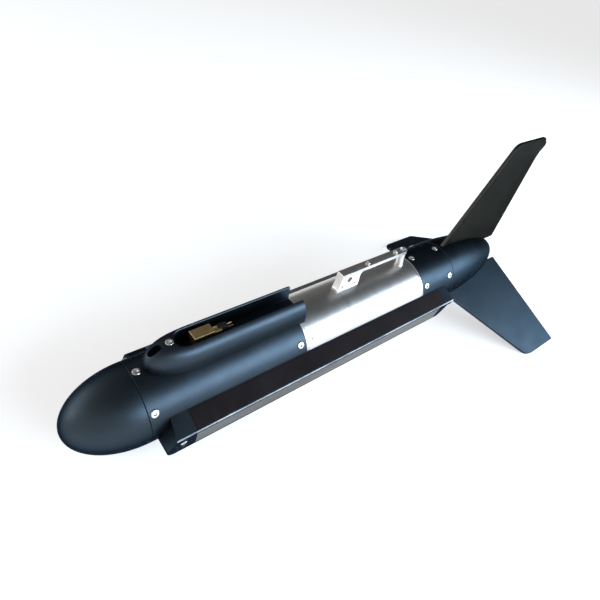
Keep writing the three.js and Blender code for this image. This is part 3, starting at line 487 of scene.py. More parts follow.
def bright_steel():
    s = Surface("bright_steel", (0.8, 0.8, 0.79), 0.2, 1.0)
    s.base(s.colours(s.noise(160, 3, 0.5), (0.68, 0.67, 0.65), (0.86, 0.86, 0.85)))
    s.rough(s.between(s.noise(700, 3, 0.6), 0.16, 0.3))
    s.bump(s.noise(2200, 2, 0.5), 0.00003, 0.3)
    return s.material


def machined_brass():
    s = Surface("machined_brass", (0.6, 0.43, 0.19), 0.34, 1.0)
    s.base(s.colours(s.noise(120, 4, 0.6), (0.46, 0.33, 0.14), (0.66, 0.49, 0.24)))
    s.rough(s.between(s.noise(900, 3, 0.6, stretch=(1, 0.05, 1)), 0.28, 0.46))
    s.bump(s.noise(1600, 2, 0.5, stretch=(1, 0.05, 1)), 0.00005, 0.4)
    return s.material


def bright_copper():
    s = Surface("bright_copper", (0.72, 0.4, 0.2), 0.25, 1.0)
    s.base(s.colours(s.noise(300, 3, 0.5), (0.6, 0.32, 0.16), (0.8, 0.48, 0.26)))
    s.rough(s.between(s.noise(900, 2, 0.5), 0.2, 0.34))
    return s.material


def black_rubber():
    s = Surface("black_rubber", (0.008, 0.008, 0.009), 0.7, 0.0, Specular_IOR_Level=0.2)
    s.base(s.colours(s.noise(90, 4, 0.6), (0.005, 0.005, 0.006), (0.012, 0.012, 0.013)))
    s.rough(s.between(s.noise(400, 3, 0.6), 0.6, 0.8))
    s.bump(s.noise(1800, 2, 0.5), 0.00006, 0.4)
    return s.material


def dark_inlay():
    """Potted cover strip: brown-black, matte and slightly mottled."""
    s = Surface("dark_inlay", (0.012, 0.009, 0.01), 0.4, 0.0, Specular_IOR_Level=0.16)
    s.base(s.colours(s.noise(26, 5, 0.6), (0.009, 0.007, 0.0075), (0.015, 0.011, 0.012)))
    s.rough(s.between(s.noise(60, 4, 0.6), 0.34, 0.46))
    s.bump(s.noise(1400, 2, 0.5), 0.00004, 0.3)
    return s.material


def grey_window():
    """Cast acoustic window: warm grey, satin, with faint flow marks along the bar."""
    s = Surface("grey_window", (0.06, 0.053, 0.048), 0.45, 0.0, Specular_IOR_Level=0.35)
    flow = s.noise(30, 4, 0.6, stretch=(0.2, 1, 1))
    s.base(s.colours(flow, (0.045, 0.04, 0.036), (0.075, 0.067, 0.06)))
    s.rough(s.between(s.noise(80, 4, 0.6, stretch=(0.2, 1, 1)), 0.38, 0.52))
    s.bump(s.noise(1200, 2, 0.5), 0.00005, 0.3)
    return s.material


def cast_ballast():
    s = Surface("cast_ballast", (0.2, 0.2, 0.21), 0.6, 0.8)
    s.base(s.colours(s.noise(60, 4, 0.6), (0.13, 0.13, 0.14), (0.27, 0.27, 0.28)))
    s.bump(s.noise(500, 3, 0.6), 0.0003, 0.5)
    return s.material


def circuit_board():
    s = Surface("circuit_board", (0.02, 0.16, 0.07), 0.4, 0.0)
    s.base(s.colours(s.noise(240, 2, 0.5), (0.012, 0.11, 0.05), (0.03, 0.2, 0.09)))
    s.rough(s.between(s.noise(600, 2, 0.5), 0.32, 0.5))
    return s.material


SURFACES = {
    "black_anodised": black_anodised(),
    "turned_silver": turned_silver(),
    "bright_steel": bright_steel(),
    "brass": machined_brass(),
    "copper": bright_copper(),
    "black_rubber": black_rubber(),
    "dark_inlay": dark_inlay(),
    "grey_window": grey_window(),
    "ballast": cast_ballast(),
    "circuit_board": circuit_board(),
    "milled": milled_silver(),
    # The next two finishes carry painted light: the edge finish a painted highlight besides its
    # rubbed-through dye, the top fin's copy a painted neutral reflection of the room.
    "worn_edge_and_highlight": worn_edge_and_highlight(),
    "black_with_painted_room_tint": black_with_painted_room_tint(),
}


# ------------------------------------------------------------------ mesh helpers

def lathe(profile, steps=ROUND):
    """A solid turned about x from (x, r) points. It closes on the axis or on its first point."""
    bm = bmesh.new()
    closed = profile[0] == profile[-1]
    points = profile[:-1] if closed else profile
    rings = []
    for x, r in points:
        if r < 1e-6:
            rings.append([bm.verts.new((x, 0, 0))])
            continue
        turns = (2 * math.pi * i / steps for i in range(steps))
        rings.append([bm.verts.new((x, -r * math.sin(a), r * math.cos(a))) for a in turns])
    pairs = list(zip(rings, rings[1:]))
    if closed:
        pairs.append((rings[-1], rings[0]))
    for a, b in pairs:
        for i in range(steps):
            j = (i + 1) % steps
            corners = [a[i % len(a)], a[j % len(a)], b[j % len(b)], b[i % len(b)]]
            bm.faces.new(dict.fromkeys(corners))
    bmesh.ops.recalc_face_normals(bm, faces=bm.faces)
    return bm


def dense(profile, step=4.0):
    """The same profile with its long outer stretches cut into shorter ones."""
    out = [profile[0]]
    for (x0, r0), (x1, r1) in zip(profile, profile[1:]):
        count = max(1, math.ceil(math.hypot(x1 - x0, r1 - r0) / step))
        out += [(x0 + (x1 - x0) * i / count, r0 + (r1 - r0) * i / count) for i in range(1, count)]
        out.append((x1, r1))
    return out


def prism(outline, low, high, lift):
    """A solid from a closed outline of (a, b) points, from low to high; lift(a, b, c) gives x, y, z."""
    bm = bmesh.new()
    bottom = [bm.verts.new(lift(a, b, low)) for a, b in outline]
    top = [bm.verts.new(lift(a, b, high)) for a, b in outline]
    bm.faces.new(bottom)
    bm.faces.new(top)
    for i in range(len(outline)):
        j = (i + 1) % len(outline)
        bm.faces.new((bottom[i], bottom[j], top[j], top[i]))
    bmesh.ops.recalc_face_normals(bm, faces=bm.faces)
    return bm


def loft(sections):
    """A closed solid through sections with equal numbers of (x, y, z) points."""
    bm = bmesh.new()
    rings = [[bm.verts.new(p) for p in section] for section in sections]
    for a, b in zip(rings, rings[1:]):
        for i in range(len(a)):
            j = (i + 1) % len(a)
            bm.faces.new((a[i], a[j], b[j], b[i]))
    bm.faces.new(rings[0])
    bm.faces.new(rings[-1])
    bmesh.ops.recalc_face_normals(bm, faces=bm.faces)
    return bm


def arc(centre, radius, start, end, steps):
    """Points on an arc in degrees, ends included."""
    out = []
    for i in range(steps + 1):
        a = math.radians(start + (end - start) * i / steps)
        out.append((centre[0] + radius * math.cos(a), centre[1] + radius * math.sin(a)))
    return out


def rounded(outline, radii, steps=8):
    """The outline with each corner turned into an arc of its own radius, where that isn't 0."""
    out = []
    count = len(outline)
    for i, corner in enumerate(outline):
        radius = radii.get(i, 0)
        if not radius:
            out.append(corner)
            continue
        c = Vector(corner)
        before = (Vector(outline[i - 1]) - c).normalized()
        after = (Vector(outline[(i + 1) % count]) - c).normalized()
        half = math.acos(max(-1, min(1, before.dot(after)))) / 2
        centre = c + (before + after).normalized() * (radius / math.sin(half))
        first = c + before * (radius / math.tan(half))
        last = c + after * (radius / math.tan(half))
        a0 = math.atan2(*(first - centre).yx)
        a1 = math.atan2(*(last - centre).yx)
        turn = (a1 - a0 + math.pi) % (2 * math.pi) - math.pi
        for k in range(steps + 1):
            a = a0 + turn * k / steps
            out.append((centre.x + radius * math.cos(a), centre.y + radius * math.sin(a)))
    return out


def upright(profile, steps=FINE):
    """A solid turned about z from (z, r) points."""
    bm = lathe(profile, steps)
    bmesh.ops.transform(bm, matrix=Matrix.Rotation(-math.pi / 2, 4, "Y"), verts=bm.verts)
    return bm


def moved(bm, matrix):
    bmesh.ops.transform(bm, matrix=matrix, verts=bm.verts)
    bmesh.ops.recalc_face_normals(bm, faces=bm.faces)
    return bm


def shift(x=0.0, y=0.0, z=0.0):
    return Matrix.Translation((x, y, z))


# How a prism's outline lies: seen from above, from the side, or along the axis
def from_above(a, b, c):
    return a, b, c


def from_side(a, b, c):
    return a, c, b


def along_axis(a, b, c):
    return c, a, b


def peg(low, high, radius, steps=FINE):
    """An upright cylinder."""
    return upright([(low, 0), (low, radius), (high, radius), (high, 0)], steps)


def bar_of(x0, x1, radius, steps=ROUND):
    """A cylinder along x."""
    return lathe([(x0, 0), (x0, radius), (x1, radius), (x1, 0)], steps)


def oblong(x0, x1, y0, y1):
    return [(x0, y0), (x1, y0), (x1, y1), (x0, y1)]


def hexagon(corner):
    """The outline of a hex socket, corner being the reach from its centre."""
    turns = [math.radians(60 * i) for i in range(6)]
    return [(corner * math.cos(a), corner * math.sin(a)) for a in turns]


def at_angle(degrees, x=0.0, up=0.0):
    """From the +Z side to an angle about the axis: 90 is the top, 0 is starboard."""
    turn = Matrix.Rotation(math.radians(degrees - 90), 4, "X")
    return shift(x) @ turn @ shift(z=up)


def in_one(parts):
    """One bmesh from several that don't meet."""
    whole = bmesh.new()
    for part in parts:
        mesh = bpy.data.meshes.new("part")
        part.to_mesh(mesh)
        part.free()
        whole.from_mesh(mesh)
        bpy.data.meshes.remove(mesh)
    return whole


def scratch_object(bm):
    mesh = bpy.data.meshes.new("scratch")
    bm.to_mesh(mesh)
    bm.free()
    made = bpy.data.objects.new("scratch", mesh)
    bpy.context.scene.collection.objects.link(made)
    return made


def drop(made):
    mesh = made.data
    bpy.data.objects.remove(made)
    bpy.data.meshes.remove(mesh)


def settled(made):
    """The object's mesh with its modifiers applied, as a bmesh. The object is removed."""
    evaluated = made.evaluated_get(bpy.context.evaluated_depsgraph_get())
    mesh = bpy.data.meshes.new_from_object(evaluated)
    bm = bmesh.new()
    bm.from_mesh(mesh)
    bpy.data.meshes.remove(mesh)
    drop(made)
    return bm


def combined(bm, other, operation="DIFFERENCE"):
    made, tool = scratch_object(bm), scratch_object(other)
    step = made.modifiers.new("boolean", "BOOLEAN")
    step.operation = operation
    step.solver = "MANIFOLD"
    step.object = tool
    out = settled(made)
    drop(tool)
    return out


def cut(bm, *tools):
    for tool in tools:
        bm = combined(bm, tool)
    return bm


def bevelled(bm, width, segments=3, angle=35):
    made = scratch_object(bm)
    step = made.modifiers.new("bevel", "BEVEL")
    step.width = width
    step.segments = segments
    step.limit_method = "ANGLE"
    step.angle_limit = math.radians(angle)
    return settled(made)


def round_normal(place):
    """Which way the round body faces at a place on it: two half ellipsoids and a cylinder."""
    if place.x < 0:
        along = place.x / NOSE_LENGTH ** 2
    elif place.x > TAIL_JOINT:
        along = (place.x - TAIL_JOINT) / TAIL_LENGTH ** 2
    else:
        along = 0.0
    return Vector((along, place.y / BODY_R ** 2, place.z / BODY_R ** 2)).normalized()


def smooth_round(mesh):
    """Gives corners on the round body its true normal, so holes leave no marks in the gloss."""
    normals = [corner.vector.copy() for corner in mesh.corner_normals]
    for face in mesh.polygons:
        for loop in face.loop_indices:
            true = round_normal(mesh.vertices[mesh.loops[loop].vertex_index].co)
            if true.dot(face.normal) > CLOSE:
                normals[loop] = true
    mesh.normals_split_custom_set(normals)


def smooth_flat(mesh):
    """Weighs corner normals by face area, so flats stay flat right up to their rounded edges."""
    around = [[] for _ in mesh.vertices]
    for face in mesh.polygons:
        for vertex in face.vertices:
            around[vertex].append((face.normal.copy(), face.area))
    normals = [corner.vector.copy() for corner in mesh.corner_normals]
    for face in mesh.polygons:
        own = face.normal.copy()
        for loop in face.loop_indices:
            total = Vector()
            for normal, area in around[mesh.loops[loop].vertex_index]:
                if own.dot(normal) > SAME_TURN:
                    total += normal * area
            normals[loop] = total.normalized()
    mesh.normals_split_custom_set(normals)


def paint_wear_and_highlight(mesh, facing):
    """The flat edge that faces one way gets the lighter edge finish: rubbed-through dye and a painted
    highlight.
    """
    mesh.materials.append(SURFACES["worn_edge_and_highlight"])
    for face in mesh.polygons:
        if face.normal.dot(facing) > CLOSE:
            face.material_index = 1


def shown(node, bm, surface, sharp=32, is_round=False, worn_highlight=None):
    """A visible piece for a CAD node: smooth but for its sharp edges, and laid in the row frame."""
    for face in bm.faces:
        face.smooth = True
    for edge in bm.edges:
        if len(edge.link_faces) == 2 and edge.calc_face_angle(0) > math.radians(sharp):
            edge.smooth = False
    mesh = bpy.data.meshes.new(f"{node}_fine")
    bm.to_mesh(mesh)
    bm.free()
    if is_round:
        smooth_round(mesh)
    else:
        smooth_flat(mesh)
    mesh.materials.append(SURFACES[surface])
    # The edge flat's lighter finish is partly a painted highlight.
    if worn_highlight:
        paint_wear_and_highlight(mesh, worn_highlight)
    mesh.transform(BODY_SCALED)
    made = bpy.data.objects.new(f"{node}_fine", mesh)
    bpy.context.scene.collection.objects.link(made)
    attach(made, "root")
    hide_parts(node)


# ------------------------------------------------------------------ screws

def socket_screw(head_r, head_h, shank_r, shank):
    """A button-head screw with a hex socket and a turned edge; z = 0 is under the head."""
    dome = [(head_h - head_h * 0.55 * (1 - math.cos(a)), head_r * (0.52 + 0.48 * math.sin(b)))
            for a, b in zip((1.0, 0.8, 0.6, 0.4, 0.2, 0.0), (1.5708, 1.2, 0.9, 0.6, 0.3, 0.0))]
    profile = [(-shank, 0), (-shank, shank_r), (-0.4, shank_r), (0, shank_r + 0.3), (0, head_r - 0.25),
               (0.25, head_r), *dome, (head_h, 0)]
    corner = SOCKET_R / math.cos(math.pi / 6)
    socket = prism(hexagon(corner), head_h - SOCKET_DEPTH, head_h + 2, from_above)
    lead = upright([(head_h - 0.45, 0), (head_h - 0.45, SOCKET_R), (head_h + 0.2, SOCKET_R + 0.75),
                    (head_h + 0.2, 0)])
    return cut(upright(profile), socket, lead)


def seat_cutter(head_r, seat, mouth, shank_r, base):
    """The hole for a screw: clearance for the shank, a counterbore and a broken edge."""
    bore_r, counterbore_r = shank_r + SEAM, head_r + SEAM
    mouth_r = counterbore_r + 2.0
    return upright([(base, 0), (base, bore_r), (seat - SEAM, bore_r), (seat - SEAM, counterbore_r),
                    (mouth - 0.5, counterbore_r), (mouth + 1.5, mouth_r), (mouth + 5, mouth_r),
                    (mouth + 5, 0)])


RING_SCREW = socket_screw(HEAD_R, HEAD_H, SHANK_R, RING_SHANK)


def ring_holes(x, angles):
    return [moved(seat_cutter(HEAD_R, HEAD_SEAT, BODY_R, SHANK_R, BORE - 12), at_angle(angle, x))
            for angle in angles]


def ring_screws(name, x, angles):
    for i, angle in enumerate(angles):
        turn = Matrix.Rotation(math.radians(FIRST_TURN + NEXT_TURN * i), 4, "Z")
        screw = moved(RING_SCREW.copy(), at_angle(angle, x, HEAD_SEAT) @ turn)
        shown(f"{name}_{i + 1}", screw, "bright_steel", sharp=40)


# ------------------------------------------------------------------ shells

def quarter(length, radius, start, steps, direction):
    """(x, r) points of a quarter ellipse from the joint to the tip."""
    out = []
    for i in range(steps + 1):
        a = math.pi / 2 * i / steps
        out.append((start + direction * length * math.sin(a), radius * math.cos(a)))
    out[-1] = (start + direction * length, 0)
    return out


def nose_cone():
    outer = quarter(NOSE_LENGTH, BODY_R, 0, 56, -1)[1:]
    inner = quarter(NOSE_LENGTH - NOSE_WALL, SPIGOT_BORE, 0, 20, -1)
    face = -SEAM / 2
    rim = [(face - EDGE, RIM_R), (face, BODY_R - EDGE), (face, SPIGOT_R), (SPIGOT_LENGTH - 1, SPIGOT_R),
           (SPIGOT_LENGTH, SPIGOT_R - 1), (SPIGOT_LENGTH, SPIGOT_BORE)]
    shell = lathe([*reversed(outer), *rim, *inner])
    shown("nose_cone", cut(shell, in_one(ring_holes(NOSE_RING, FOUR))), "black_anodised", is_round=True)


def tube(x0, x1, bore, edge):
    """A turned tube with broken outer edges."""
    return lathe(dense([(x0, bore), (x0, BODY_R - edge), (x0 + edge, BODY_R), (x1 - edge, BODY_R),
                        (x1, BODY_R - edge), (x1, bore), (x0, bore)]))


def sleeve(name, x0, x1, holes):
    shown(name, cut(tube(x0, x1, BORE, EDGE), in_one(holes)), "black_anodised", is_round=True)


def end_cap(name, joint, direction, x_ring, angles):
    """The cap's thin flange shows between the sleeve and the housing."""
    flange = joint - direction * CAP_FLANGE
    plug = flange - direction * CAP_PLUG
    hollow = plug + direction * CAP_RECESS
    spigot = joint + direction * (SPIGOT_LENGTH + CAP_PAST_SPIGOT)
    seam = joint - direction * SEAM / 2
    profile = [(plug, 0), (plug, HOUSING_BORE - SEAM), (flange, HOUSING_BORE - SEAM),
               (flange, BODY_R - CAP_EDGE), (flange + direction * CAP_EDGE, BODY_R),
               (seam - direction * CAP_SEAM_EDGE, BODY_R), (seam, BODY_R - CAP_SEAM_EDGE),
               (seam, SPIGOT_R), (spigot, SPIGOT_R), (spigot, SPIGOT_BORE),
               (hollow, HOUSING_BORE - CAP_RECESS), (hollow, 0)]
    cap = cut(lathe(profile), in_one(ring_holes(x_ring, angles)))
    shown(name, cap, "turned_silver", is_round=True)


def pressure_housing():
    """The bare tube, with the bracket's bolt hole and two small pin holes; the lock screw sits in it."""
    lock_angle, lock_x = LOCK_PLACE
    lock_at = at_angle(lock_angle, lock_x)
    mouth = BODY_R + 1
    lock_hole = upright([(HOUSING_BORE - 5, 0), (HOUSING_BORE - 5, LOCK_R + SEAM),
                         (BODY_R - 0.4, LOCK_R + SEAM), (mouth, LOCK_R + 1.4), (mouth, 0)])
    bolt_hole = moved(peg(BORE - 10, mouth, SHANK_R + SEAM), at_angle(90, POST_X))
    pin_holes = [moved(peg(BODY_R - 2, mouth, PIN_HOLE_R), at_angle(*place)) for place in PIN_HOLES]
    holes = [moved(lock_hole, lock_at), bolt_hole, *pin_holes]
    shell = tube(HOUSING_START + CAP_FLANGE + SEAM, HOUSING_END - CAP_FLANGE - SEAM, HOUSING_BORE,
                 HOUSING_EDGE)
    shown("pressure_housing", cut(shell, in_one(holes)), "turned_silver", is_round=True)
    under = HOUSING_BORE - LOCK_DEPTH
    screw = upright([(under, 0), (under, LOCK_R), (BODY_R - 0.1, LOCK_R), (BODY_R + 0.3, LOCK_R - 0.4),
                     (BODY_R + 0.3, 0)])
    socket = prism(hexagon(LOCK_SOCKET_R), BODY_R - 2, BODY_R + 2, from_above)
    shown("cap_lock_screw", moved(cut(screw, socket), lock_at), "turned_silver")


def fin_outline(hooked):
    """The top fin's tip is drawn out to the rear in a small hook, the lower ones end in a corner."""
    rear = FIN_HOOK if hooked else FIN_CORNER
    radii = {1: HOOK_FRONT_ROUND if hooked else CORNER_FRONT_ROUND}
    outline = [(FIN_ROOT[0] - 5, FIN_ROOT[1] - 8), (FIN_TIP_START, FIN_SPAN)]
    for past, out, radius in rear:
        radii[len(outline)] = radius
        outline.append((FIN_TIP_END + past, out))
    return rounded([*outline, FIN_HEEL, *FIN_INSIDE], radii)


def fin_plate(hooked=False, grow=0.0):
    half = FIN_HALF + grow
    return prism(fin_outline(hooked), -half, half, from_side)


def tail_cone():
    outer = dense(quarter(TAIL_LENGTH, BODY_R, TAIL_JOINT, 70, 1)[1:], 6)
    inner = quarter(TAIL_LENGTH - TAIL_SOLID, SPIGOT_BORE, TAIL_JOINT, 20, 1)
    start, face = TAIL_JOINT - SPIGOT_LENGTH, TAIL_JOINT + SEAM / 2
    rim = [(start, SPIGOT_BORE), (start, SPIGOT_R - 1), (start + 1, SPIGOT_R), (face, SPIGOT_R),
           (face, BODY_R - EDGE), (face + EDGE, RIM_R)]
    shell = lathe([*reversed(inner), *rim, *outer[1:]])
    slots = [moved(fin_plate(grow=FIN_SLOT_GAP), at_angle(angle)) for angle in FIN_ANGLES.values()]
    shell = cut(shell, in_one(ring_holes(TAIL_RING, SIX)), *slots)
    shown("tail_cone", shell, "black_anodised", is_round=True)


def fins():
    for name, angle in FIN_ANGLES.items():
        is_top = name == "fin_top"
        plate = moved(bevelled(fin_plate(is_top), FIN_EDGE, 4), at_angle(angle))
        # The top fin gets the black finish whose neutral tint is a painted reflection of the room.
        shown(name, plate, "black_with_painted_room_tint" if is_top else "black_anodised", sharp=28)


# ------------------------------------------------------------------ cable fairing and connector

def fairing_section(x):
    plan = min(1.0, (x - FAIRING_START) / BOW_LENGTH)
    rise = min(1.0, (x - FAIRING_START) / RISE_LENGTH)
    half = FAIRING_HALF * math.sqrt(max(0.0, 1 - (1 - plan) ** 2))
    height = FAIRING_RISE * max(0.0, 1 - (1 - rise) ** SHOULDER) ** (1 / SHOULDER)
    section = [(x, -half, FAIRING_LOW), (x, -half, FAIRING_LOW + 6)]
    steps = 72
    for i in range(steps + 1):
        a = math.pi * (1 - i / steps)
        across = math.copysign(abs(math.cos(a)) ** (2 / SHOULDER), math.cos(a))
        up = abs(math.sin(a)) ** (2 / SHOULDER)
        section.append((x, across * half, FAIRING_FOOT + up * max(0.5, height - 2)))
    section += [(x, half, FAIRING_LOW + 6), (x, half, FAIRING_LOW)]
    return section


def trough_outline(grow, z):
    centre = TROUGH_START + TROUGH_HALF
    radius = TROUGH_HALF + grow
    bend = arc((centre, 0), radius, 90, 270, 40)
    past = FAIRING_END + 6
    return [(past, radius, z), *[(x, y, z) for x, y in bend], (past, -radius, z)]


def trough_cutter():
    """The trough with a round lip where it opens and a small round at its floor."""
    layers = [(-1.5, TROUGH_BASE), (-0.4, TROUGH_BASE + 0.4), (0, TROUGH_BASE + 1.5)]
    for i in range(7):
        a = math.radians(15 * i)
        rise = TROUGH_LIP * math.sin(a)
        layers.append((TROUGH_LIP * (1 - math.cos(a)), TROUGH_TOP - TROUGH_LIP + rise))
    layers.append((TROUGH_LIP + 1.5, TROUGH_TOP + 0.35))
    layers.append((TROUGH_LIP + 3.5, TROUGH_TOP + 3.5))
    return loft([trough_outline(grow, z) for grow, z in layers])


def cable_fairing():
    bow_steps, tail_steps = 44, 40
    bow = BOW_LENGTH - FAIRING_TIP
    bow_end = FAIRING_START + BOW_LENGTH
    xs = [FAIRING_START + FAIRING_TIP + bow * (1 - math.cos(math.pi / 2 * i / bow_steps))
          for i in range(bow_steps + 1)]
    xs += [bow_end + (FAIRING_END - bow_end) * i / tail_steps for i in range(1, tail_steps + 1)]
    shell = loft([fairing_section(x) for x in xs])
    bow_rim = [*arc((BOW_HOLE_HALF, 0), BOW_HOLE_R, -90, 90, 24),
               *arc((-BOW_HOLE_HALF, 0), BOW_HOLE_R, 90, 270, 24)]
    pocket = prism(bow_rim, BOW_HOLE_FLOOR, FAIRING_TOP + 5, from_above)
    screw_seat = FAIRING_TOP - HEAD_H
    screw_hole = seat_cutter(HEAD_R, screw_seat, FAIRING_TOP, SHANK_R, BODY_R - 3)
    shell = cut(shell, bar_of(-10, FAIRING_END + 30, SEAT_R), trough_cutter(),
                moved(pocket, shift(BOW_HOLE_X)), moved(screw_hole, shift(FAIRING_SCREW_X)))
    shown("cable_fairing", shell, "black_anodised")
    screws = (("fairing_screw", FAIRING_SHANK, FAIRING_SCREW_X, screw_seat),
              ("fairing_bow_screw", BOW_SHANK, BOW_HOLE_X, BOW_HOLE_FLOOR + SEAM))
    for name, shank, x, seat in screws:
        screw = socket_screw(HEAD_R, HEAD_H, SHANK_R, shank)
        shown(name, moved(screw, shift(x, 0, seat)), "bright_steel")


def connector():
    """A brass block with a lug beside it, and a rubber insert with two pins in the lug's end."""
    in_block, in_lug = BLOCK_END - 12, LUG_END - INSERT_SEAT
    lug = prism(oblong(in_block, LUG_END, -BLOCK_HALF, LUG_SIDE), CONNECTOR_SEAT,
                CONNECTOR_TOP - LUG_DROP, from_above)
    main = prism(oblong(BLOCK_START, BLOCK_END, -BLOCK_HALF, BLOCK_HALF), CONNECTOR_SEAT,
                 CONNECTOR_TOP, from_above)
    block = bevelled(combined(main, lug, "UNION"), 0.5, 3)
    axis = shift(z=CONNECTOR_AXIS)
    bore = moved(bar_of(in_lug, INSERT_END, INSERT_R + SEAM, FINE), axis)
    groove = moved(bar_of(BLOCK_END, LUG_END + 1, GROOVE_R, FINE), shift(0, -1.6, CONNECTOR_TOP + 0.4))
    shown("connector_block", cut(block, bore, groove), "brass")
    start = in_lug + SEAM
    insert = lathe([(start, 0), (start, INSERT_R), (INSERT_END - 0.8, INSERT_R),
                    (INSERT_END, INSERT_R - 0.8), (INSERT_END, 0)], FINE)
    pin_start = INSERT_END - PIN_SEAT
    holes = [moved(bar_of(pin_start, INSERT_END + 5, PIN_R + SEAM, 20), shift(0, y))
             for y in PINS.values()]
    shown("connector_insert", moved(cut(insert, in_one(holes)), axis), "black_rubber")
    for name, y in PINS.items():
        start = pin_start + SEAM
        pin = lathe([(start, 0), (start, PIN_R), (PIN_END - 1, PIN_R), (PIN_END - 0.3, 0.75),
                     (PIN_END, 0.35), (PIN_END, 0)], 24)
        shown(name, moved(pin, axis @ shift(0, y)), "copper")


# ------------------------------------------------------------------ tow bracket

def bracket_eye(x, z, radius, lead):
    """Cuts an eye across the leg, with a broken edge on both faces."""
    past, far = BRACKET_HALF + 1, 20
    face = BRACKET_HALF - 0.4
    cutter = lathe([(-far, 0), (-far, radius + 6), (-past, radius + lead), (-face, radius),
                    (face, radius), (past, radius + lead), (far, radius + 6), (far, 0)], FINE)
    return moved(cutter, shift(x, 0, z) @ Matrix.Rotation(math.pi / 2, 4, "Z"))


def tow_bracket():
    flare = BRACKET_START - BRACKET_FLARE
    outline = [(flare, BRACKET_LOW), (flare, 49.2), (BRACKET_START + 0.5, 50.5),
               (BRACKET_START + BRACKET_NOSE, BRACKET_TOP), (POST_X, BRACKET_TOP), (POST_X, BAR_UNDER),
               (BRACKET_FOOT_END + 1.5, BAR_UNDER), (BRACKET_FOOT_END, BRACKET_LOW)]
    outline = rounded(outline, {2: 4.0, 3: 1.2, 6: 6.0})
    whole = prism(outline, -BRACKET_HALF, BRACKET_HALF, from_side)
    foot_r, foot_top = POST_FOOT
    rounds = ((BAR_UNDER, BRACKET_TOP, BRACKET_HALF), (BRACKET_LOW, BAR_UNDER + 2, POST_R),
              (BRACKET_LOW, foot_top, foot_r))
    for low_z, high_z, radius in rounds:
        whole = combined(whole, moved(peg(low_z, high_z, radius, 64), shift(POST_X)), "UNION")
    whole = bevelled(cut(whole, bar_of(200, 480, SEAT_R)), 0.35, 2)
    bolt_hole = seat_cutter(BOLT_R, BOLT_SEAT, BRACKET_TOP, SHANK_R, BRACKET_LOW)
    screw_holes = [moved(peg(BODY_R + 8, BRACKET_TOP + 4, SMALL_SHANK_R + SEAM), shift(x))
                   for x in BAR_SCREWS]
    whole = cut(whole, *[bracket_eye(*eye) for eye in EYES], moved(bolt_hole, shift(POST_X)),
                in_one(screw_holes))
    shown("tow_bracket", whole, "milled", sharp=28)
    for i, x in enumerate(BAR_SCREWS):
        screw = socket_screw(BAR_SCREW_R, SMALL_HEAD_H, SMALL_SHANK_R, BAR_SCREW_SHANK)
        screw = moved(screw, shift(x, 0, BRACKET_TOP + 0.05))
        shown(f"bracket_bar_screw_{i + 1}", screw, "bright_steel")
    bolt = socket_screw(BOLT_R, HEAD_H, SHANK_R, BOLT_LENGTH)
    shown("bracket_post_bolt", moved(bolt, shift(POST_X, 0, BOLT_SEAT)), "bright_steel")


# ------------------------------------------------------------------ transducer bars

TOP_SLOPE = math.atan2(TOP_INNER[1] - TOP_OUTER[1], TOP_OUTER[0] - TOP_INNER[0])
TOP_WIDTH = math.hypot(TOP_OUTER[0] - TOP_INNER[0], TOP_INNER[1] - TOP_OUTER[1])


def face_at(up):
    """How far out the bar's face is at a height above the top's outer edge."""
    return TOP_OUTER[0] + up * math.tan(FACE_LEAN)


def on_top(along, deep):
    """A (y, z) point on the sloping top, from its inner edge outwards and down into the bar."""
    return (TOP_INNER[0] + along * math.cos(TOP_SLOPE) - deep * math.sin(TOP_SLOPE),
            TOP_INNER[1] - along * math.sin(TOP_SLOPE) - deep * math.cos(TOP_SLOPE))


def on_face(down, deep):
    """A (y, z) point on the leaning face, from its top edge downwards and into the bar."""
    return (TOP_OUTER[0] - down * math.sin(FACE_LEAN) - deep * math.cos(FACE_LEAN),
            -down * math.cos(FACE_LEAN) + deep * math.sin(FACE_LEAN))


def strip(place, span, deep, proud, x0, x1):
    """A strip let into the top or the face; place is on_top or on_face."""
    first, last = span
    outline = [place(first, deep), place(last, deep), place(last, -proud), place(first, -proud)]
    return prism(outline, x0, x1, along_axis)


def recess(place, span, deep, x0, x1):
    first, last = span
    wider = (first - FRAME_GAP, last + FRAME_GAP)
    return strip(place, wider, deep + FRAME_GAP, 4, x0 - FRAME_GAP, x1 + FRAME_GAP)


def array_side_outline():
    low_z = -ARRAY_DEPTH
    outline = [(ARRAY_START + 7, ARRAY_TALL), (ARRAY_START, 0), (ARRAY_START - FRONT_LEAN, low_z),
               (ARRAY_END - 21, low_z), (ARRAY_END - 17, low_z + 5), (ARRAY_END - 10.5, -ARRAY_FLANGE),
               (ARRAY_END - 2, -ARRAY_FLANGE), (ARRAY_END, 0), (ARRAY_END, ARRAY_TALL)]
    return rounded(outline, {1: 14.0, 2: 10.0, 3: 3.0, 4: 3.0, 5: 1.5, 6: 1.5})


def array_blank():
    """The bar's housing before anything is let into it, and which way its edge flat with the
    rubbed-through dye and painted highlight faces.
    """
    low_z = -ARRAY_DEPTH
    inner = on_top(-8, 0)
    edge_out, edge_in = on_face(WORN_HIGHLIGHT_DOWN, 0), on_top(TOP_WIDTH - WORN_HIGHLIGHT_IN, 0)
    section = [(ARRAY_INNER, low_z), (face_at(low_z), low_z), edge_out, edge_in, inner,
               (ARRAY_INNER, inner[1])]
    blank = prism(section, -10, ARRAY_END + 5, along_axis)
    blank = combined(blank, prism(array_side_outline(), 0, 90, from_side), "INTERSECT")
    facing = Vector((0, edge_in[1] - edge_out[1], edge_out[0] - edge_in[0])).normalized()
    return bevelled(blank, 0.8, 4, 55), facing


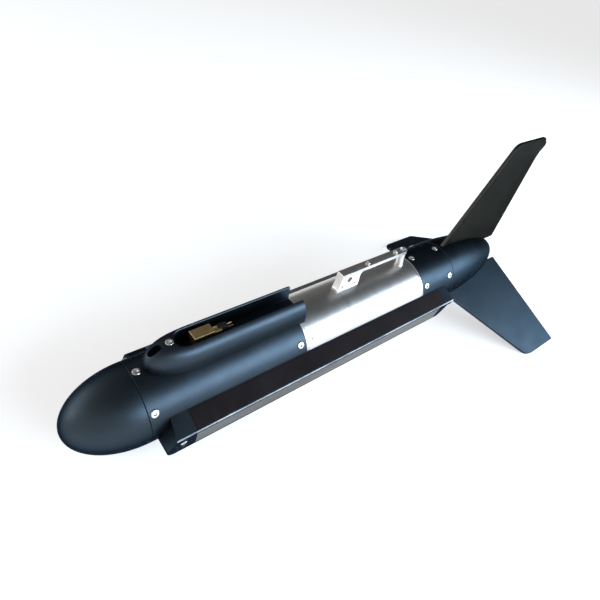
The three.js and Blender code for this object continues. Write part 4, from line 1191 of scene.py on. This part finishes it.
def transducer_bar(side, sign):
    bar, facing = array_blank()
    facing.y *= sign
    inlay_span = (INLAY_MARGIN, TOP_WIDTH - INLAY_OUTER_MARGIN)
    window_span = (WINDOW_MARGIN, ARRAY_DEPTH / math.cos(FACE_LEAN) - WINDOW_MARGIN)
    mid = -ARRAY_DEPTH / 2
    outward = (shift(ARRAY_SCREW_X, face_at(mid), mid) @ Matrix.Rotation(-FACE_LEAN, 4, "X")
               @ Matrix.Rotation(-math.pi / 2, 4, "X"))
    bore_r, mouth_r = SMALL_SHANK_R + SEAM, ARRAY_COUNTERBORE_R + 2.0
    hole = upright([(-17, 0), (-17, bore_r), (-ARRAY_SCREW_SEAT, bore_r),
                    (-ARRAY_SCREW_SEAT, ARRAY_COUNTERBORE_R), (-0.4, ARRAY_COUNTERBORE_R),
                    (1.6, mouth_r), (5, mouth_r), (5, 0)])
    bar = cut(bar, bar_of(-20, ARRAY_END + 20, SEAT_R), recess(on_top, inlay_span, INLAY_DEEP, *INLAY),
              recess(on_face, window_span, WINDOW_DEEP, *WINDOW), moved(hole, outward))
    inlay = bevelled(strip(on_top, inlay_span, INLAY_DEEP, INLAY_PROUD, *INLAY), 0.35, 2)
    inlay = cut(inlay, bar_of(-10, ARRAY_END + 20, SEAT_R + 0.05))
    window = bevelled(strip(on_face, window_span, WINDOW_DEEP, WINDOW_PROUD, *WINDOW), 0.4, 2)
    screw = socket_screw(ARRAY_SCREW_R, ARRAY_SCREW_H, SMALL_SHANK_R, ARRAY_SCREW_LENGTH)
    screw = moved(screw, outward @ shift(z=0.05 - ARRAY_SCREW_SEAT))
    mirror = Matrix.Scale(sign, 4, (0, 1, 0))
    # The housing's outer top edge flat takes the lighter finish, partly a painted highlight.
    pieces = (("array_housing", bar, "black_anodised", facing),
              ("array_inlay", inlay, "dark_inlay", None),
              ("array_window", window, "grey_window", None),
              ("array_screw", screw, "bright_steel", None))
    for name, bm, surface, worn_highlight in pieces:
        shown(f"{name}_{side}", moved(bm, mirror), surface, sharp=24, worn_highlight=worn_highlight)


# ------------------------------------------------------------------ build

nose_cone()
sleeve("front_sleeve", SEAM / 2, HOUSING_START - SEAM / 2,
       [*ring_holes(NOSE_RING, FOUR), *ring_holes(FRONT_RING, FOUR[1:])])
end_cap("front_end_cap", HOUSING_START, -1, FRONT_RING, FOUR[1:])
pressure_housing()
end_cap("rear_end_cap", HOUSING_END, 1, REAR_RING, FOUR)
sleeve("rear_sleeve", HOUSING_END + SEAM / 2, TAIL_JOINT - SEAM / 2,
       [*ring_holes(REAR_RING, FOUR), *ring_holes(TAIL_RING, SIX)])
tail_cone()
fins()
cable_fairing()
connector()
tow_bracket()
transducer_bar("starboard", 1)
transducer_bar("port", -1)
ring_screws("nose_screw", NOSE_RING, FOUR)
ring_screws("front_cap_screw", FRONT_RING, FOUR[1:])
ring_screws("rear_cap_screw", REAR_RING, FOUR)
ring_screws("tail_screw", TAIL_RING, SIX)

# The CAD nodes that stay get their slot's finish.
for entry in frame["record"]["subparts"]:
    node = frame["nodes"][entry["node"]]
    node.data.materials.clear()
    node.data.materials.append(SURFACES[entry["material_slot"]])
